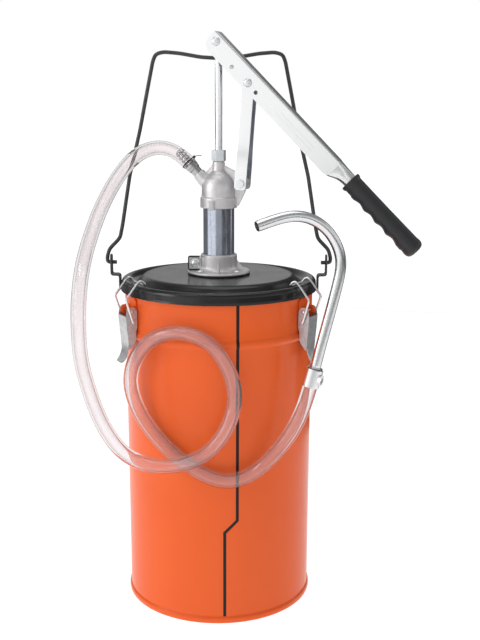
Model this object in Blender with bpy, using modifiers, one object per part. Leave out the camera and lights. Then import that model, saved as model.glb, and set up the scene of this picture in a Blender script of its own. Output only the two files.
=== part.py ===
"""Gear oil pump: a lever pump on a steel pail with a clamped lid.

Units are metres, +Z up.  The pail stands on Z = 0 with its axis on the Z axis,
and its front faces -Y.  The lengths below are in millimetres and are scaled by
MM where they reach the mesh.
"""
import math

import bmesh
import bpy
from mathutils import Matrix, Vector

MM = 0.001
GAP = 0.3                      # clearance kept between touching pieces
STEPS = 32                     # facets round the pail and the lid

# Pail and lid
PAIL_R = 125.0
PAIL_SHEET = 1.0
PAIL_TOP = 439.6
BEAD_Z = 377.4
CHIME_R = 127.35
LID_R = 129.9
LID_SHEET = 1.2
PLATEAU_Z = 447.6
PLATEAU_R = 98.5
LID_BORE = 21.3

# Pump body
BARREL_R = 20.5
BARREL_WALL = 2.5
BARREL_TOP = 546.2
BARREL_LOW = 12.0
ROD_R = 4.75
NUT_LOW = 594.9
NUT_TOP = 609.2
NUT_R = 9.65

# Pumping mechanism, in its own vertical plane turned about Z
MECH_TURN = -15.0              # degrees
PIN1 = (0.0, 743.8)            # rod eye to lever
PIN2 = (41.5, 693.4)           # lever to links
PIN3 = (32.2, 566.8)           # links to pump head
LEVER_DROP = 44.8              # degrees below level
GRIP_END = 366.0
LEVER_IN = 10.0
LEVER_OUT = 11.8

# Outlet, in the mechanism plane
BOSS_END = (-27.2, 578.1)
BOSS_DIR = (-0.70, 0.714)
HOSE_R = 9.5
NOZZLE_R = 6.8

# Latches and bail
LATCH_TURNS = {"left": -150.0, "right": -30.0, "back": 90.0}
LATCH_PIN = (133.0, 410.5)
WIRE_HOLE = (132.0, 395.0)
WIRE_R = 1.4
BAIL_Z = 462.0
BAIL_LEAN = 8.0                # degrees back from upright
BAIL_R = 2.5
BRACKET_X = 143.0


def clear_scene():
    for obj in list(bpy.data.objects):
        bpy.data.objects.remove(obj, do_unlink=True)
    for coll in list(bpy.data.collections):
        bpy.data.collections.remove(coll)


clear_scene()
PARTS = bpy.data.collections.new("gear_oil_pump")
CUTTERS = bpy.data.collections.new("cutters")
bpy.context.scene.collection.children.link(PARTS)
bpy.context.scene.collection.children.link(CUTTERS)


# ---------------------------------------------------------------- materials
def material(name, colour, metallic, roughness, alpha=1.0):
    mat = bpy.data.materials.new(name)
    mat.use_nodes = True
    shader = mat.node_tree.nodes["Principled BSDF"]
    shader.inputs["Base Color"].default_value = (*colour, 1.0)
    shader.inputs["Metallic"].default_value = metallic
    shader.inputs["Roughness"].default_value = roughness
    shader.inputs["Alpha"].default_value = alpha
    mat.diffuse_color = (*colour, alpha)
    return mat


ORANGE = material("orange_paint", (0.83, 0.13, 0.03), 0.0, 0.30)
BLACK = material("black_paint", (0.02, 0.02, 0.022), 0.0, 0.35)
CAST = material("cast_aluminium", (0.50, 0.47, 0.45), 0.6, 0.55)
ZINC = material("zinc_plate", (0.62, 0.66, 0.74), 1.0, 0.30)
BRIGHT = material("bright_zinc", (0.80, 0.82, 0.85), 1.0, 0.28)
GALV = material("galvanised", (0.55, 0.58, 0.60), 1.0, 0.45)
DARK = material("dark_steel", (0.05, 0.05, 0.055), 0.7, 0.40)
RUBBER = material("black_rubber", (0.015, 0.015, 0.015), 0.0, 0.60)
SEAL = material("seal_rubber", (0.03, 0.03, 0.03), 0.0, 0.70)
CLEAR = material("clear_hose", (0.80, 0.80, 0.82), 0.0, 0.10, 0.35)
BRASS = material("brass", (0.70, 0.50, 0.20), 1.0, 0.35)


# ---------------------------------------------------------------- geometry
def circle(cx, cy, radius, count=20):
    points = []
    for i in range(count):
        angle = 2.0 * math.pi * i / count
        points.append((cx + radius * math.cos(angle), cy + radius * math.sin(angle)))
    return points


def fillet(points, radius, count=4, closed=False):
    """Replace each corner of a polyline by a short curve of about this radius."""
    points = [Vector(p) for p in points]
    total = len(points)
    result = []
    for i, point in enumerate(points):
        if not closed and i in (0, total - 1):
            result.append(point)
            continue
        before = points[i - 1] - point
        after = points[(i + 1) % total] - point
        reach = min(radius, before.length * 0.48, after.length * 0.48)
        start = point + before.normalized() * reach
        end = point + after.normalized() * reach
        for k in range(count + 1):
            t = k / count
            result.append(start.lerp(point, t).lerp(point.lerp(end, t), t))
    return [tuple(p) for p in result]


def strip(path, thickness):
    """Closed outline of a strip of sheet whose middle follows a 2D path."""
    path = [Vector(p) for p in path]
    left = []
    right = []
    for i, point in enumerate(path):
        ahead = path[min(i + 1, len(path) - 1)] - point
        behind = point - path[max(i - 1, 0)]
        if ahead.length < 1e-9:
            ahead = behind
        if behind.length < 1e-9:
            behind = ahead
        normal_a = Vector((-ahead.y, ahead.x)).normalized()
        normal_b = Vector((-behind.y, behind.x)).normalized()
        normal = (normal_a + normal_b).normalized()
        half = 0.5 * thickness / max(normal.dot(normal_a), 0.5)
        left.append(tuple(point + normal * half))
        right.append(tuple(point - normal * half))
    return left + right[::-1]


def offset_profile(path, thickness):
    """Closed loop of a turned sheet: its outer path, then the same path set in."""
    inner = []
    points = [Vector(p) for p in path]
    for i, point in enumerate(points):
        ahead = points[min(i + 1, len(points) - 1)] - point
        behind = point - points[max(i - 1, 0)]
        if ahead.length < 1e-9:
            ahead = behind
        if behind.length < 1e-9:
            behind = ahead
        normal_a = Vector((ahead.y, -ahead.x)).normalized()
        normal_b = Vector((behind.y, -behind.x)).normalized()
        normal = (normal_a + normal_b).normalized()
        inner.append(tuple(point + normal * thickness / max(normal.dot(normal_a), 0.6)))
    return list(path) + inner[::-1]


def add_object(name, mesh, mat=None, matrix=None, cutter=False):
    obj = bpy.data.objects.new(name, mesh)
    if mat is not None:
        mesh.materials.clear()
        mesh.materials.append(mat)
    if cutter:
        CUTTERS.objects.link(obj)
        obj.hide_render = True
        obj.display_type = "WIRE"
    else:
        PARTS.objects.link(obj)
    if matrix is not None:
        obj.matrix_world = matrix
    return obj


def turned(name, profile, mat=None, steps=28, matrix=None, closed=True, cutter=False):
    """A lathe shape: (radius, height) points run down the outer side."""
    mesh = bpy.data.meshes.new(name)
    verts = [(r * MM, 0.0, z * MM) for r, z in profile]
    edges = [(i, i + 1) for i in range(len(verts) - 1)]
    if closed:
        edges.append((len(verts) - 1, 0))
    mesh.from_pydata(verts, edges, [])
    obj = add_object(name, mesh, mat, matrix, cutter)
    screw = obj.modifiers.new("turn", "SCREW")
    screw.axis = "Z"
    screw.angle = 2.0 * math.pi
    screw.steps = steps
    screw.render_steps = steps
    screw.use_merge_vertices = True
    screw.merge_threshold = 0.00001
    screw.use_normal_calculate = False
    return obj


def curve_mesh(name, curve, matrix):
    """Turn a curve into a welded mesh and drop the curve."""
    holder = bpy.data.objects.new(name + "_curve", curve)
    bpy.context.scene.collection.objects.link(holder)
    holder.matrix_world = matrix
    bpy.context.view_layer.update()
    graph = bpy.context.evaluated_depsgraph_get()
    mesh = bpy.data.meshes.new_from_object(holder.evaluated_get(graph))
    bpy.data.objects.remove(holder, do_unlink=True)
    bpy.data.curves.remove(curve)
    work = bmesh.new()
    work.from_mesh(mesh)
    bmesh.ops.remove_doubles(work, verts=work.verts, dist=0.00001)
    bmesh.ops.recalc_face_normals(work, faces=work.faces)
    work.to_mesh(mesh)
    work.free()
    mesh.name = name
    return mesh


STAND = Matrix.Rotation(math.radians(90.0), 4, "X")       # drawing (x, y) to (x, z)


def plate(name, loops, thickness, mat=None, matrix=None, centre=0.0, cutter=False, lay=STAND):
    """A flat outline with holes, drawn in x and z, and thick along y about centre."""
    curve = bpy.data.curves.new(name, "CURVE")
    curve.dimensions = "2D"
    curve.fill_mode = "BOTH"
    curve.extrude = 0.5 * thickness * MM
    curve.render_resolution_u = 0
    for loop in loops:
        spline = curve.splines.new("POLY")
        spline.points.add(len(loop) - 1)
        for point, (x, y) in zip(spline.points, loop):
            point.co = (x * MM, y * MM, 0.0, 1.0)
        spline.use_cyclic_u = True
    mesh = curve_mesh(name, curve, Matrix.Identity(4))
    mesh.transform(lay)
    if lay is STAND:
        mesh.transform(Matrix.Translation((0.0, centre * MM, 0.0)))
    else:
        mesh.transform(Matrix.Translation((0.0, 0.0, centre * MM)))
    return add_object(name, mesh, mat, matrix, cutter)


def wire(name, points, radius, mat=None, matrix=None, cutter=False, detail=2):
    """A round wire, tube or hose along a run of points."""
    curve = bpy.data.curves.new(name, "CURVE")
    curve.dimensions = "3D"
    curve.bevel_depth = radius * MM
    curve.bevel_resolution = detail
    curve.use_fill_caps = True
    curve.render_resolution_u = 0
    spline = curve.splines.new("POLY")
    spline.points.add(len(points) - 1)
    for point, co in zip(spline.points, points):
        point.co = (co[0] * MM, co[1] * MM, co[2] * MM, 1.0)
    mesh = curve_mesh(name, curve, Matrix.Identity(4))
    return add_object(name, mesh, mat, matrix, cutter)


def rod_between(name, start, end, radius, mat=None, matrix=None, cutter=False, sides=24, far=None):
    """A cylinder or cone from one point to another."""
    start = Vector(start) * MM
    end = Vector(end) * MM
    axis = end - start
    mesh = bpy.data.meshes.new(name)
    work = bmesh.new()
    bmesh.ops.create_cone(work, cap_ends=True, segments=sides, radius1=radius * MM,
                          radius2=(radius if far is None else far) * MM, depth=axis.length)
    turn = Vector((0.0, 0.0, 1.0)).rotation_difference(axis).to_matrix().to_4x4()
    work.transform(Matrix.Translation(0.5 * (start + end)) @ turn)
    work.to_mesh(mesh)
    work.free()
    return add_object(name, mesh, mat, matrix, cutter)


def block(name, low, high, mat=None, matrix=None, cutter=False):
    low = Vector(low) * MM
    high = Vector(high) * MM
    size = high - low
    mesh = bpy.data.meshes.new(name)
    work = bmesh.new()
    bmesh.ops.create_cube(work, size=1.0)
    bmesh.ops.scale(work, vec=size, verts=work.verts)
    bmesh.ops.translate(work, vec=0.5 * (low + high), verts=work.verts)
    work.to_mesh(mesh)
    work.free()
    return add_object(name, mesh, mat, matrix, cutter)


def combine(obj, tool, operation):
    mod = obj.modifiers.new(operation.lower() + "_" + tool.name, "BOOLEAN")
    mod.operation = operation
    mod.solver = "EXACT"
    mod.object = tool


def bake(obj, smooth=30.0):
    """Settle the modifiers into the mesh and set smooth shading."""
    bpy.context.view_layer.update()
    graph = bpy.context.evaluated_depsgraph_get()
    mesh = bpy.data.meshes.new_from_object(obj.evaluated_get(graph))
    mats = list(obj.data.materials)
    obj.modifiers.clear()
    obj.data = mesh
    mesh.materials.clear()
    for mat in mats:
        mesh.materials.append(mat)
    for polygon in mesh.polygons:
        polygon.material_index = 0
    mesh.name = obj.name
    if smooth:
        mesh.shade_smooth()
        mesh.set_sharp_from_angle(angle=math.radians(smooth))


def bevel(obj, width, segments=1, angle=40.0):
    mod = obj.modifiers.new("edge", "BEVEL")
    mod.width = width * MM
    mod.segments = segments
    mod.limit_method = "ANGLE"
    mod.angle_limit = math.radians(angle)
    mod.harden_normals = False


MECH = Matrix.Rotation(math.radians(MECH_TURN), 4, "Z")


def mech_at(pin):
    """Frame of the mechanism plane with its origin on a pin."""
    return MECH @ Matrix.Translation((pin[0] * MM, 0.0, pin[1] * MM))


def axis_frame(origin, direction):
    """A frame at a world point (mm) whose Z runs along a direction."""
    turn = Vector((0.0, 0.0, 1.0)).rotation_difference(Vector(direction).normalized())
    return Matrix.Translation(Vector(origin) * MM) @ turn.to_matrix().to_4x4()


# ---------------------------------------------------------------- pail
WALL_IN = PAIL_R - PAIL_SHEET
shell_profile = [
    (124.6, PAIL_TOP), (126.6, PAIL_TOP), (128.0, 438.6), (128.3, 436.6), (127.8, 434.6),
    (126.4, 433.4), (PAIL_R, 432.8),
    (PAIL_R, BEAD_Z + 5.8), (126.3, BEAD_Z + 3.6), (127.1, BEAD_Z + 1.2),
    (127.1, BEAD_Z - 1.2), (126.3, BEAD_Z - 3.6), (PAIL_R, BEAD_Z - 5.8),
    (PAIL_R, 9.0), (126.4, 8.2), (CHIME_R, 6.2), (CHIME_R, 1.6), (126.2, 0.0), (123.8, 0.0),
    (123.4, 0.6), (123.4, 7.6), (WALL_IN, 9.0),
    (WALL_IN, BEAD_Z - 5.2), (125.9, BEAD_Z - 1.4), (125.9, BEAD_Z + 1.4), (WALL_IN, BEAD_Z + 5.2),
    (WALL_IN, 438.8),
]
pail_shell = turned("pail_shell", shell_profile, ORANGE, STEPS)
bake(pail_shell, 25.0)

base_profile = [
    (0.0, 1.2), (104.0, 1.2), (108.0, 4.2), (113.0, 4.2), (117.0, 1.2), (123.1, 1.2),
    (123.1, 0.0), (116.3, 0.0), (112.5, 3.0), (108.5, 3.0), (104.7, 0.0), (0.0, 0.0),
]
pail_base = turned("pail_base", base_profile, ORANGE, STEPS, closed=False)
bake(pail_base)

# ---------------------------------------------------------------- lid: pan, and the skirt round its rim
lid_path = [
    (LID_BORE, PLATEAU_Z), (PLATEAU_R, PLATEAU_Z), (101.4, 446.4), (102.8, 443.6),
    (104.0, 438.6), (106.2, 436.6), (114.0, 436.6), (116.6, 438.0), (118.8, 441.6),
    (121.4, 443.3), (125.7, 443.5),
]
skirt_path = [
    (126.3, 443.5), (127.0, 443.4), (129.0, 441.8), (LID_R, 439.2), (LID_R, 430.4), (130.6, 428.2),
]
lid = turned("lid", offset_profile(lid_path, LID_SHEET), BLACK, STEPS)
lid_skirt = turned("lid_skirt", offset_profile(skirt_path, LID_SHEET), BLACK, STEPS)
bake(lid_skirt, 25.0)
lid_gasket = turned("lid_gasket", [(123.4, 441.3), (127.0, 441.3), (127.0, 439.9), (123.4, 439.9)],
                    SEAL, STEPS)
bake(lid_gasket)

SCREW_SPOTS = [(34.0 * math.cos(math.radians(a)), 34.0 * math.sin(math.radians(a)))
               for a in (45.0, 135.0, 225.0, 315.0)]
FLANGE_LOW = 449.2
FLANGE_TOP = 452.6
base_flange = turned("base_flange", [
    (23.6, 473.7), (24.2, 473.0), (24.4, 456.6), (25.8, 453.8), (28.5, FLANGE_TOP),
    (41.0, FLANGE_TOP), (41.7, 451.9), (41.7, FLANGE_LOW), (20.85, FLANGE_LOW), (20.85, 473.7),
], CAST, 24)
for turn_deg in (0.0, 90.0, 270.0):
    rib = plate("rib_%d" % int(turn_deg), [[(22.6, 470.5), (24.6, 470.5), (27.5, 462.0),
                                            (31.5, 452.4), (22.6, 452.4)]],
                4.0, matrix=Matrix.Rotation(math.radians(turn_deg), 4, "Z"), cutter=True)
    combine(base_flange, rib, "UNION")
flange_gasket = turned("flange_gasket", [(41.2, 448.9), (41.2, 447.9), (20.95, 447.9), (20.95, 448.9)],
                       SEAL, 24)
for i, (sx, sy) in enumerate(SCREW_SPOTS):
    hole = rod_between("screw_hole_%d" % i, (sx, sy, 443.0), (sx, sy, 458.0), 2.4, cutter=True, sides=8)
    for target in (lid, base_flange, flange_gasket):
        combine(target, hole, "DIFFERENCE")
bake(lid, 25.0)
bake(base_flange)
bake(flange_gasket)
for i, (sx, sy) in enumerate(SCREW_SPOTS):
    screw = turned("flange_screw_%d" % (i + 1), [
        (0.0, 455.5), (2.2, 455.3), (3.6, 454.2), (3.6, 452.9), (1.95, 452.9), (1.95, 440.0),
        (0.0, 440.0)], BRIGHT, 14, Matrix.Translation((sx * MM, sy * MM, 0.0)), closed=False)
    bake(screw)

# vent plug on the left of the collar: block, rubber band round it, slotted screw
vent_block = block("vent_block", (-38.6, -7.0, 456.2), (-25.0, 7.0, 469.4), CAST)
bevel(vent_block, 0.8)
bake(vent_block)
band_outer = [(-26.2, 471.5), (-40.7, 471.5), (-40.7, 454.3), (-26.2, 454.3)]
band_inner = [(-26.2, 455.9), (-38.9, 455.9), (-38.9, 469.7), (-26.2, 469.7)]
vent_band = plate("vent_band", [band_outer + band_inner], 15.6, RUBBER)
bake(vent_band)
vent_screw = turned("vent_screw", [(0.0, 2.4), (3.4, 2.1), (4.7, 0.9), (4.7, 0.0), (0.0, 0.0)], BRIGHT, 18,
                    Matrix.Translation((-31.4 * MM, -7.3 * MM, 462.2 * MM))
                    @ Matrix.Rotation(math.radians(90.0), 4, "X"), closed=False)
bake(vent_screw)

# ---------------------------------------------------------------- bail brackets
bracket_path = fillet([(132.0, 426.0), (132.0, 445.6), (BRACKET_X, 445.6), (BRACKET_X, 472.5)], 3.0, 2)
for name, side in (("bail_bracket_left", -1.0), ("bail_bracket_right", 1.0)):
    outline = strip(bracket_path, 2.0)
    if side < 0:
        outline = [(-x, z) for x, z in outline]
    bracket = plate(name, [outline], 16.0, DARK)
    eye = rod_between(name + "_eye", (side * 136.0, 0.0, BAIL_Z), (side * 152.0, 0.0, BAIL_Z), 3.1,
                      cutter=True, sides=16)
    combine(bracket, eye, "DIFFERENCE")
    round_top = fillet([(-8.0, 420.0), (8.0, 420.0), (8.0, 472.9), (-8.0, 472.9)], 6.0, 3, closed=True)
    keeper = plate(name + "_keeper", [round_top], 60.0, cutter=True,
                   matrix=Matrix.Translation((side * 137.0 * MM, 0.0, 0.0))
                   @ Matrix.Rotation(math.radians(90.0), 4, "Z"))
    combine(bracket, keeper, "INTERSECT")
    bake(bracket)

# ---------------------------------------------------------------- barrel and valves
barrel = turned("barrel", [
    (BARREL_R, BARREL_TOP), (BARREL_R, BARREL_LOW),
    (BARREL_R - BARREL_WALL, BARREL_LOW), (BARREL_R - BARREL_WALL, BARREL_TOP)], ZINC, 24)
bake(barrel)
foot_valve_body = turned("foot_valve_body", [
    (17.6, 34.0), (17.6, 11.7), (20.5, 11.7), (20.5, 8.0), (6.0, 8.0), (6.0, 20.0), (9.0, 21.5),
    (9.0, 34.0)], BRASS, 16)
bake(foot_valve_body)
foot_valve_ball = turned("foot_valve_ball", [
    (7.3 * math.sin(math.pi * k / 6.0), 7.3 * math.cos(math.pi * k / 6.0)) for k in range(7)],
    BRIGHT, 12, Matrix.Translation((0.0, 0.0, 25.6 * MM)), closed=False)
bake(foot_valve_ball)
strainer = turned("strainer", [
    (0.0, 7.7), (19.5, 7.7), (19.5, 3.2), (18.3, 3.2), (18.3, 6.4), (0.0, 6.4)], BRIGHT, 16,
    closed=False)
bake(strainer)

# ---------------------------------------------------------------- pump head
pump_head = turned("pump_head", [
    (0.0, 594.6), (7.9, 594.6), (8.2, 587.0), (9.2, 582.4), (11.6, 579.6), (15.4, 577.0),
    (18.8, 572.6), (21.2, 566.2), (22.4, 558.0), (22.6, 548.6), (24.0, 547.8), (24.3, 546.6),
    (24.3, 535.6), (23.6, 534.6), (0.0, 534.6)], CAST, 24, closed=False)
boss_root = (BOSS_END[0] - 22.0 * BOSS_DIR[0], 0.0, BOSS_END[1] - 22.0 * BOSS_DIR[1])
boss_face = (BOSS_END[0], 0.0, BOSS_END[1])
boss = rod_between("boss", boss_root, boss_face, 9.6, far=8.2, matrix=MECH, cutter=True, sides=16)
combine(pump_head, boss, "UNION")
web = plate("web", [[(-22.0, 579.5), (-8.0, 590.4), (8.0, 589.4), (24.0, 581.4), (30.5, 572.0),
                     (38.0, 560.5), (25.4, 537.4), (10.0, 537.0), (-16.0, 560.0)]], 5.0,
            matrix=MECH, cutter=True)
combine(pump_head, web, "UNION")
lug = rod_between("lug", (PIN3[0], -9.0, PIN3[1]), (PIN3[0], 9.0, PIN3[1]), 7.8, matrix=MECH,
                  cutter=True, sides=16)
combine(pump_head, lug, "UNION")
cavity = turned("cavity", [
    (0.0, 585.0), (5.5, 585.0), (5.5, 574.0), (11.0, 572.0), (15.5, 567.0), (18.0, 558.0),
    (18.0, 546.6), (21.0, 546.6), (21.0, 530.0), (0.0, 530.0)], steps=24, closed=False, cutter=True)
combine(pump_head, cavity, "DIFFERENCE")
neck_bore = turned("neck_bore", [(0.0, 600.0), (6.7, 600.0), (6.7, 584.0), (0.0, 584.0)], steps=20,
                   closed=False, cutter=True)
combine(pump_head, neck_bore, "DIFFERENCE")
boss_bore = rod_between("boss_bore", (BOSS_END[0] - 13.0 * BOSS_DIR[0], 0.0, BOSS_END[1] - 13.0 * BOSS_DIR[1]),
                        (BOSS_END[0] + 6.0 * BOSS_DIR[0], 0.0, BOSS_END[1] + 6.0 * BOSS_DIR[1]), 5.6,
                        matrix=MECH, cutter=True, sides=16)
combine(pump_head, boss_bore, "DIFFERENCE")
boss_way = rod_between("boss_way", (BOSS_END[0] - 22.0 * BOSS_DIR[0], 0.0, BOSS_END[1] - 22.0 * BOSS_DIR[1]),
                       (BOSS_END[0] - 10.0 * BOSS_DIR[0], 0.0, BOSS_END[1] - 10.0 * BOSS_DIR[1]), 3.6,
                       matrix=MECH, cutter=True, sides=10)
combine(pump_head, boss_way, "DIFFERENCE")
bolt_hole = rod_between("bolt_hole", (PIN3[0], -12.0, PIN3[1]), (PIN3[0], 12.0, PIN3[1]), 3.3,
                        matrix=MECH, cutter=True, sides=16)
combine(pump_head, bolt_hole, "DIFFERENCE")
key = block("key", (-9.4, -27.2, 535.0), (-3.6, -23.0, 544.2), cutter=True)
combine(pump_head, key, "UNION")
bake(pump_head)

gland_nut = rod_between("gland_nut", (0.0, 0.0, NUT_LOW), (0.0, 0.0, NUT_TOP), NUT_R, CAST, sides=6)
nut_bore = rod_between("nut_bore", (0.0, 0.0, NUT_LOW - 3.0), (0.0, 0.0, NUT_TOP + 3.0), 5.1,
                       cutter=True, sides=20)
combine(gland_nut, nut_bore, "DIFFERENCE")
bevel(gland_nut, 0.5)
bake(gland_nut)
gland_packing = turned("gland_packing", [(6.3, 594.4), (6.3, 585.4), (5.1, 585.4), (5.1, 594.4)], SEAL, 20)
bake(gland_packing)

BARB = mech_at(BOSS_END) @ Matrix.Rotation(math.atan2(BOSS_DIR[0], BOSS_DIR[1]), 4, "Y")
outlet_barb = turned("outlet_barb", [
    (5.4, 9.8), (5.4, 0.3), (5.3, -11.8), (3.4, -11.8), (3.4, 9.8)], CAST, 20, BARB)
bake(outlet_barb)
hose_tie = turned("hose_tie", [(11.2, 21.2), (11.2, 18.2), (9.8, 18.2), (9.8, 21.2)], RUBBER, 16, BARB)
tie_tail = block("tie_tail", (9.9, -0.9, 18.4), (19.5, 0.9, 21.0), matrix=BARB, cutter=True)
combine(hose_tie, tie_tail, "UNION")
bake(hose_tie)

# ---------------------------------------------------------------- rod and piston
rod_frame = mech_at(PIN1)
rod_bottom = 97.0 - PIN1[1]
piston_rod = turned("piston_rod", [
    (0.0, -3.0), (ROD_R, -3.0), (ROD_R, 126.3 - PIN1[1]), (7.2, 126.3 - PIN1[1]),
    (7.2, 122.6 - PIN1[1]), (3.9, 122.6 - PIN1[1]), (3.9, rod_bottom), (0.0, rod_bottom)],
    BRIGHT, 20, rod_frame, closed=False)
eye_body = rod_between("eye_body", (0.0, -9.6, 0.0), (0.0, 9.6, 0.0), 7.4, matrix=rod_frame,
                       cutter=True, sides=24)
combine(piston_rod, eye_body, "UNION")
eye_hole = rod_between("eye_hole", (0.0, -12.0, 0.0), (0.0, 12.0, 0.0), 3.3, matrix=rod_frame,
                       cutter=True, sides=16)
combine(piston_rod, eye_hole, "DIFFERENCE")
bake(piston_rod)
piston = turned("piston", [
    (16.4, 122.3), (16.4, 117.0), (14.4, 117.0), (14.4, 113.0), (16.4, 113.0), (16.4, 108.0),
    (4.3, 108.0), (4.3, 122.3)], BRASS, 16)
bake(piston)
piston_ring = turned("piston_ring", [(17.6, 116.7), (17.6, 113.3), (14.9, 113.3), (14.9, 116.7)],
                     SEAL, 16)
bake(piston_ring)
piston_nut = rod_between("piston_nut", (0.0, 0.0, 100.6), (0.0, 0.0, 107.7), 8.6, BRIGHT, sides=6)
nut_hole = rod_between("piston_nut_hole", (0.0, 0.0, 98.0), (0.0, 0.0, 110.0), 4.2, cutter=True, sides=16)
combine(piston_nut, nut_hole, "DIFFERENCE")
bake(piston_nut)

# ---------------------------------------------------------------- lever, in (along, across) of its own axis
LEVER = mech_at(PIN1) @ Matrix.Rotation(math.radians(LEVER_DROP), 4, "Y")
PIN2_REL = Vector((PIN2[0] - PIN1[0], PIN2[1] - PIN1[1]))
drop = math.radians(LEVER_DROP)
PIN2_A = PIN2_REL.x * math.cos(drop) - PIN2_REL.y * math.sin(drop)
PIN2_B = PIN2_REL.x * math.sin(drop) + PIN2_REL.y * math.cos(drop)
lever_outline = [
    (-9.4, 9.9), (-10.8, 4.0), (-10.8, -3.0), (-9.6, -8.0), (-6.5, -12.0), (-1.0, -14.8),
    (5.0, -15.4), (205.0, -15.4), (214.0, -12.6), (221.0, -8.4), (242.6, -8.4), (242.6, 9.9)]
lever_arm = plate("lever_arm", [lever_outline], 2.0 * LEVER_OUT, BRIGHT, LEVER)
trough = block("trough", (-30.0, -LEVER_IN, -40.0), (226.0, LEVER_IN, 8.1), matrix=LEVER, cutter=True)
combine(lever_arm, trough, "DIFFERENCE")
tang = rod_between("tang", (236.0, 0.0, 0.7), (338.0, 0.0, 0.7), 7.0, matrix=LEVER, cutter=True)
combine(lever_arm, tang, "UNION")
for i, (a, b, r) in enumerate(((0.0, 0.0, 3.3), (36.7, -7.6, 2.7), (PIN2_A, PIN2_B, 3.3),
                               (80.9, -7.6, 2.7))):
    hole = rod_between("lever_hole_%d" % i, (a, -16.0, b), (a, 16.0, b), r, matrix=LEVER,
                       cutter=True, sides=16)
    combine(lever_arm, hole, "DIFFERENCE")
bake(lever_arm)
RIVET_OUT = LEVER_OUT + GAP
rod_pin = turned("rod_pin", [
    (0.0, RIVET_OUT + 2.3), (3.4, RIVET_OUT + 1.9), (5.0, RIVET_OUT + 0.6), (5.0, RIVET_OUT),
    (3.0, RIVET_OUT), (3.0, -RIVET_OUT), (5.0, -RIVET_OUT), (5.0, -RIVET_OUT - 0.6),
    (3.4, -RIVET_OUT - 1.9), (0.0, -RIVET_OUT - 2.3)], BRIGHT, 12,
    mech_at(PIN1) @ Matrix.Rotation(math.radians(90.0), 4, "X"), closed=False)
bake(rod_pin)
for name, flip in (("fulcrum_rivet_front", 90.0), ("fulcrum_rivet_rear", -90.0)):
    rivet = turned(name, [
        (0.0, RIVET_OUT + 2.3), (3.4, RIVET_OUT + 1.9), (5.0, RIVET_OUT + 0.6), (5.0, RIVET_OUT),
        (3.0, RIVET_OUT), (3.0, 10.1), (0.0, 10.1)], BRIGHT, 12,
        mech_at(PIN2) @ Matrix.Rotation(math.radians(flip), 4, "X"), closed=False)
    bake(rivet)

# the grip is turned about its own axis, its open end towards the lever
GRIP = LEVER @ Matrix.Translation((0.0, 0.0, 0.7 * MM)) @ Matrix.Rotation(math.radians(-90.0), 4, "Y")
grip = turned("grip", [
    (0.0, -340.5), (7.4, -340.5), (7.4, -242.9), (13.4, -242.9), (13.6, -244.6), (13.4, -247.4),
    (12.0, -249.6), (11.9, -252.0), (12.5, -262.0), (12.2, -300.0), (12.6, -335.0), (13.4, -352.0),
    (12.9, -359.0), (10.0, -363.6), (5.0, -365.6), (0.0, -GRIP_END)], RUBBER, 16, GRIP, closed=False)
bake(grip)

# ---------------------------------------------------------------- links, in a frame on the lower pin
LINK_VEC = Vector((PIN2[0] - PIN3[0], PIN2[1] - PIN3[1]))
LINK_LEN = LINK_VEC.length
LINK = mech_at(PIN3) @ Matrix.Rotation(math.atan2(LINK_VEC.x, LINK_VEC.y), 4, "Y")
TURN_EDGE = Matrix.Rotation(math.radians(90.0), 4, "Z")
for name, side in (("link_front", -1.0), ("link_rear", 1.0)):
    path = [(8.0, LINK_LEN + 9.0), (8.0, 41.0), (10.8, 31.0), (10.8, -9.0)]
    edge = strip([(side * x, z) for x, z in path], 3.0)
    # drawn in (y, z): the drawing's x axis is turned onto y
    link = plate(name, [edge], 18.0, BRIGHT, LINK @ TURN_EDGE)
    link.data.transform(TURN_EDGE)
    link.matrix_world = LINK
    face = fillet([(-7.9, -7.8), (7.9, -7.8), (7.9, LINK_LEN + 7.4), (-7.9, LINK_LEN + 7.4)], 5.0, 4,
                  closed=True)
    stamp = plate(name + "_stamp", [face], 60.0, matrix=LINK, cutter=True)
    combine(link, stamp, "INTERSECT")
    for i, z in enumerate((0.0, LINK_LEN)):
        hole = rod_between("%s_hole_%d" % (name, i), (0.0, -20.0, z), (0.0, 20.0, z), 3.3,
                           matrix=LINK, cutter=True, sides=16)
        combine(link, hole, "DIFFERENCE")
    bake(link)
link_sleeve = turned("link_sleeve", [(5.6, 6.2), (5.6, -6.2), (3.3, -6.2), (3.3, 6.2)], ZINC, 16,
                     mech_at(PIN2) @ Matrix.Rotation(math.radians(90.0), 4, "X"))
bake(link_sleeve)
link_pin = turned("link_pin", [(0.0, 9.4), (3.0, 9.4), (3.0, -9.4), (0.0, -9.4)], ZINC, 16,
                  mech_at(PIN2) @ Matrix.Rotation(math.radians(90.0), 4, "X"), closed=False)
bake(link_pin)
link_bolt = rod_between("link_bolt", (0.0, -12.6, 0.0), (0.0, -16.8, 0.0), 5.7, BRIGHT, mech_at(PIN3),
                        sides=6)
shank = rod_between("shank", (0.0, -13.6, 0.0), (0.0, 19.2, 0.0), 2.9, matrix=mech_at(PIN3),
                    cutter=True, sides=16)
combine(link_bolt, shank, "UNION")
bake(link_bolt)
link_nut = rod_between("link_nut", (0.0, 12.6, 0.0), (0.0, 17.6, 0.0), 5.7, BRIGHT, mech_at(PIN3), sides=6)
thread = rod_between("thread", (0.0, 10.0, 0.0), (0.0, 21.0, 0.0), 3.2, matrix=mech_at(PIN3),
                     cutter=True, sides=16)
combine(link_nut, thread, "DIFFERENCE")
bake(link_nut)

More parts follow.
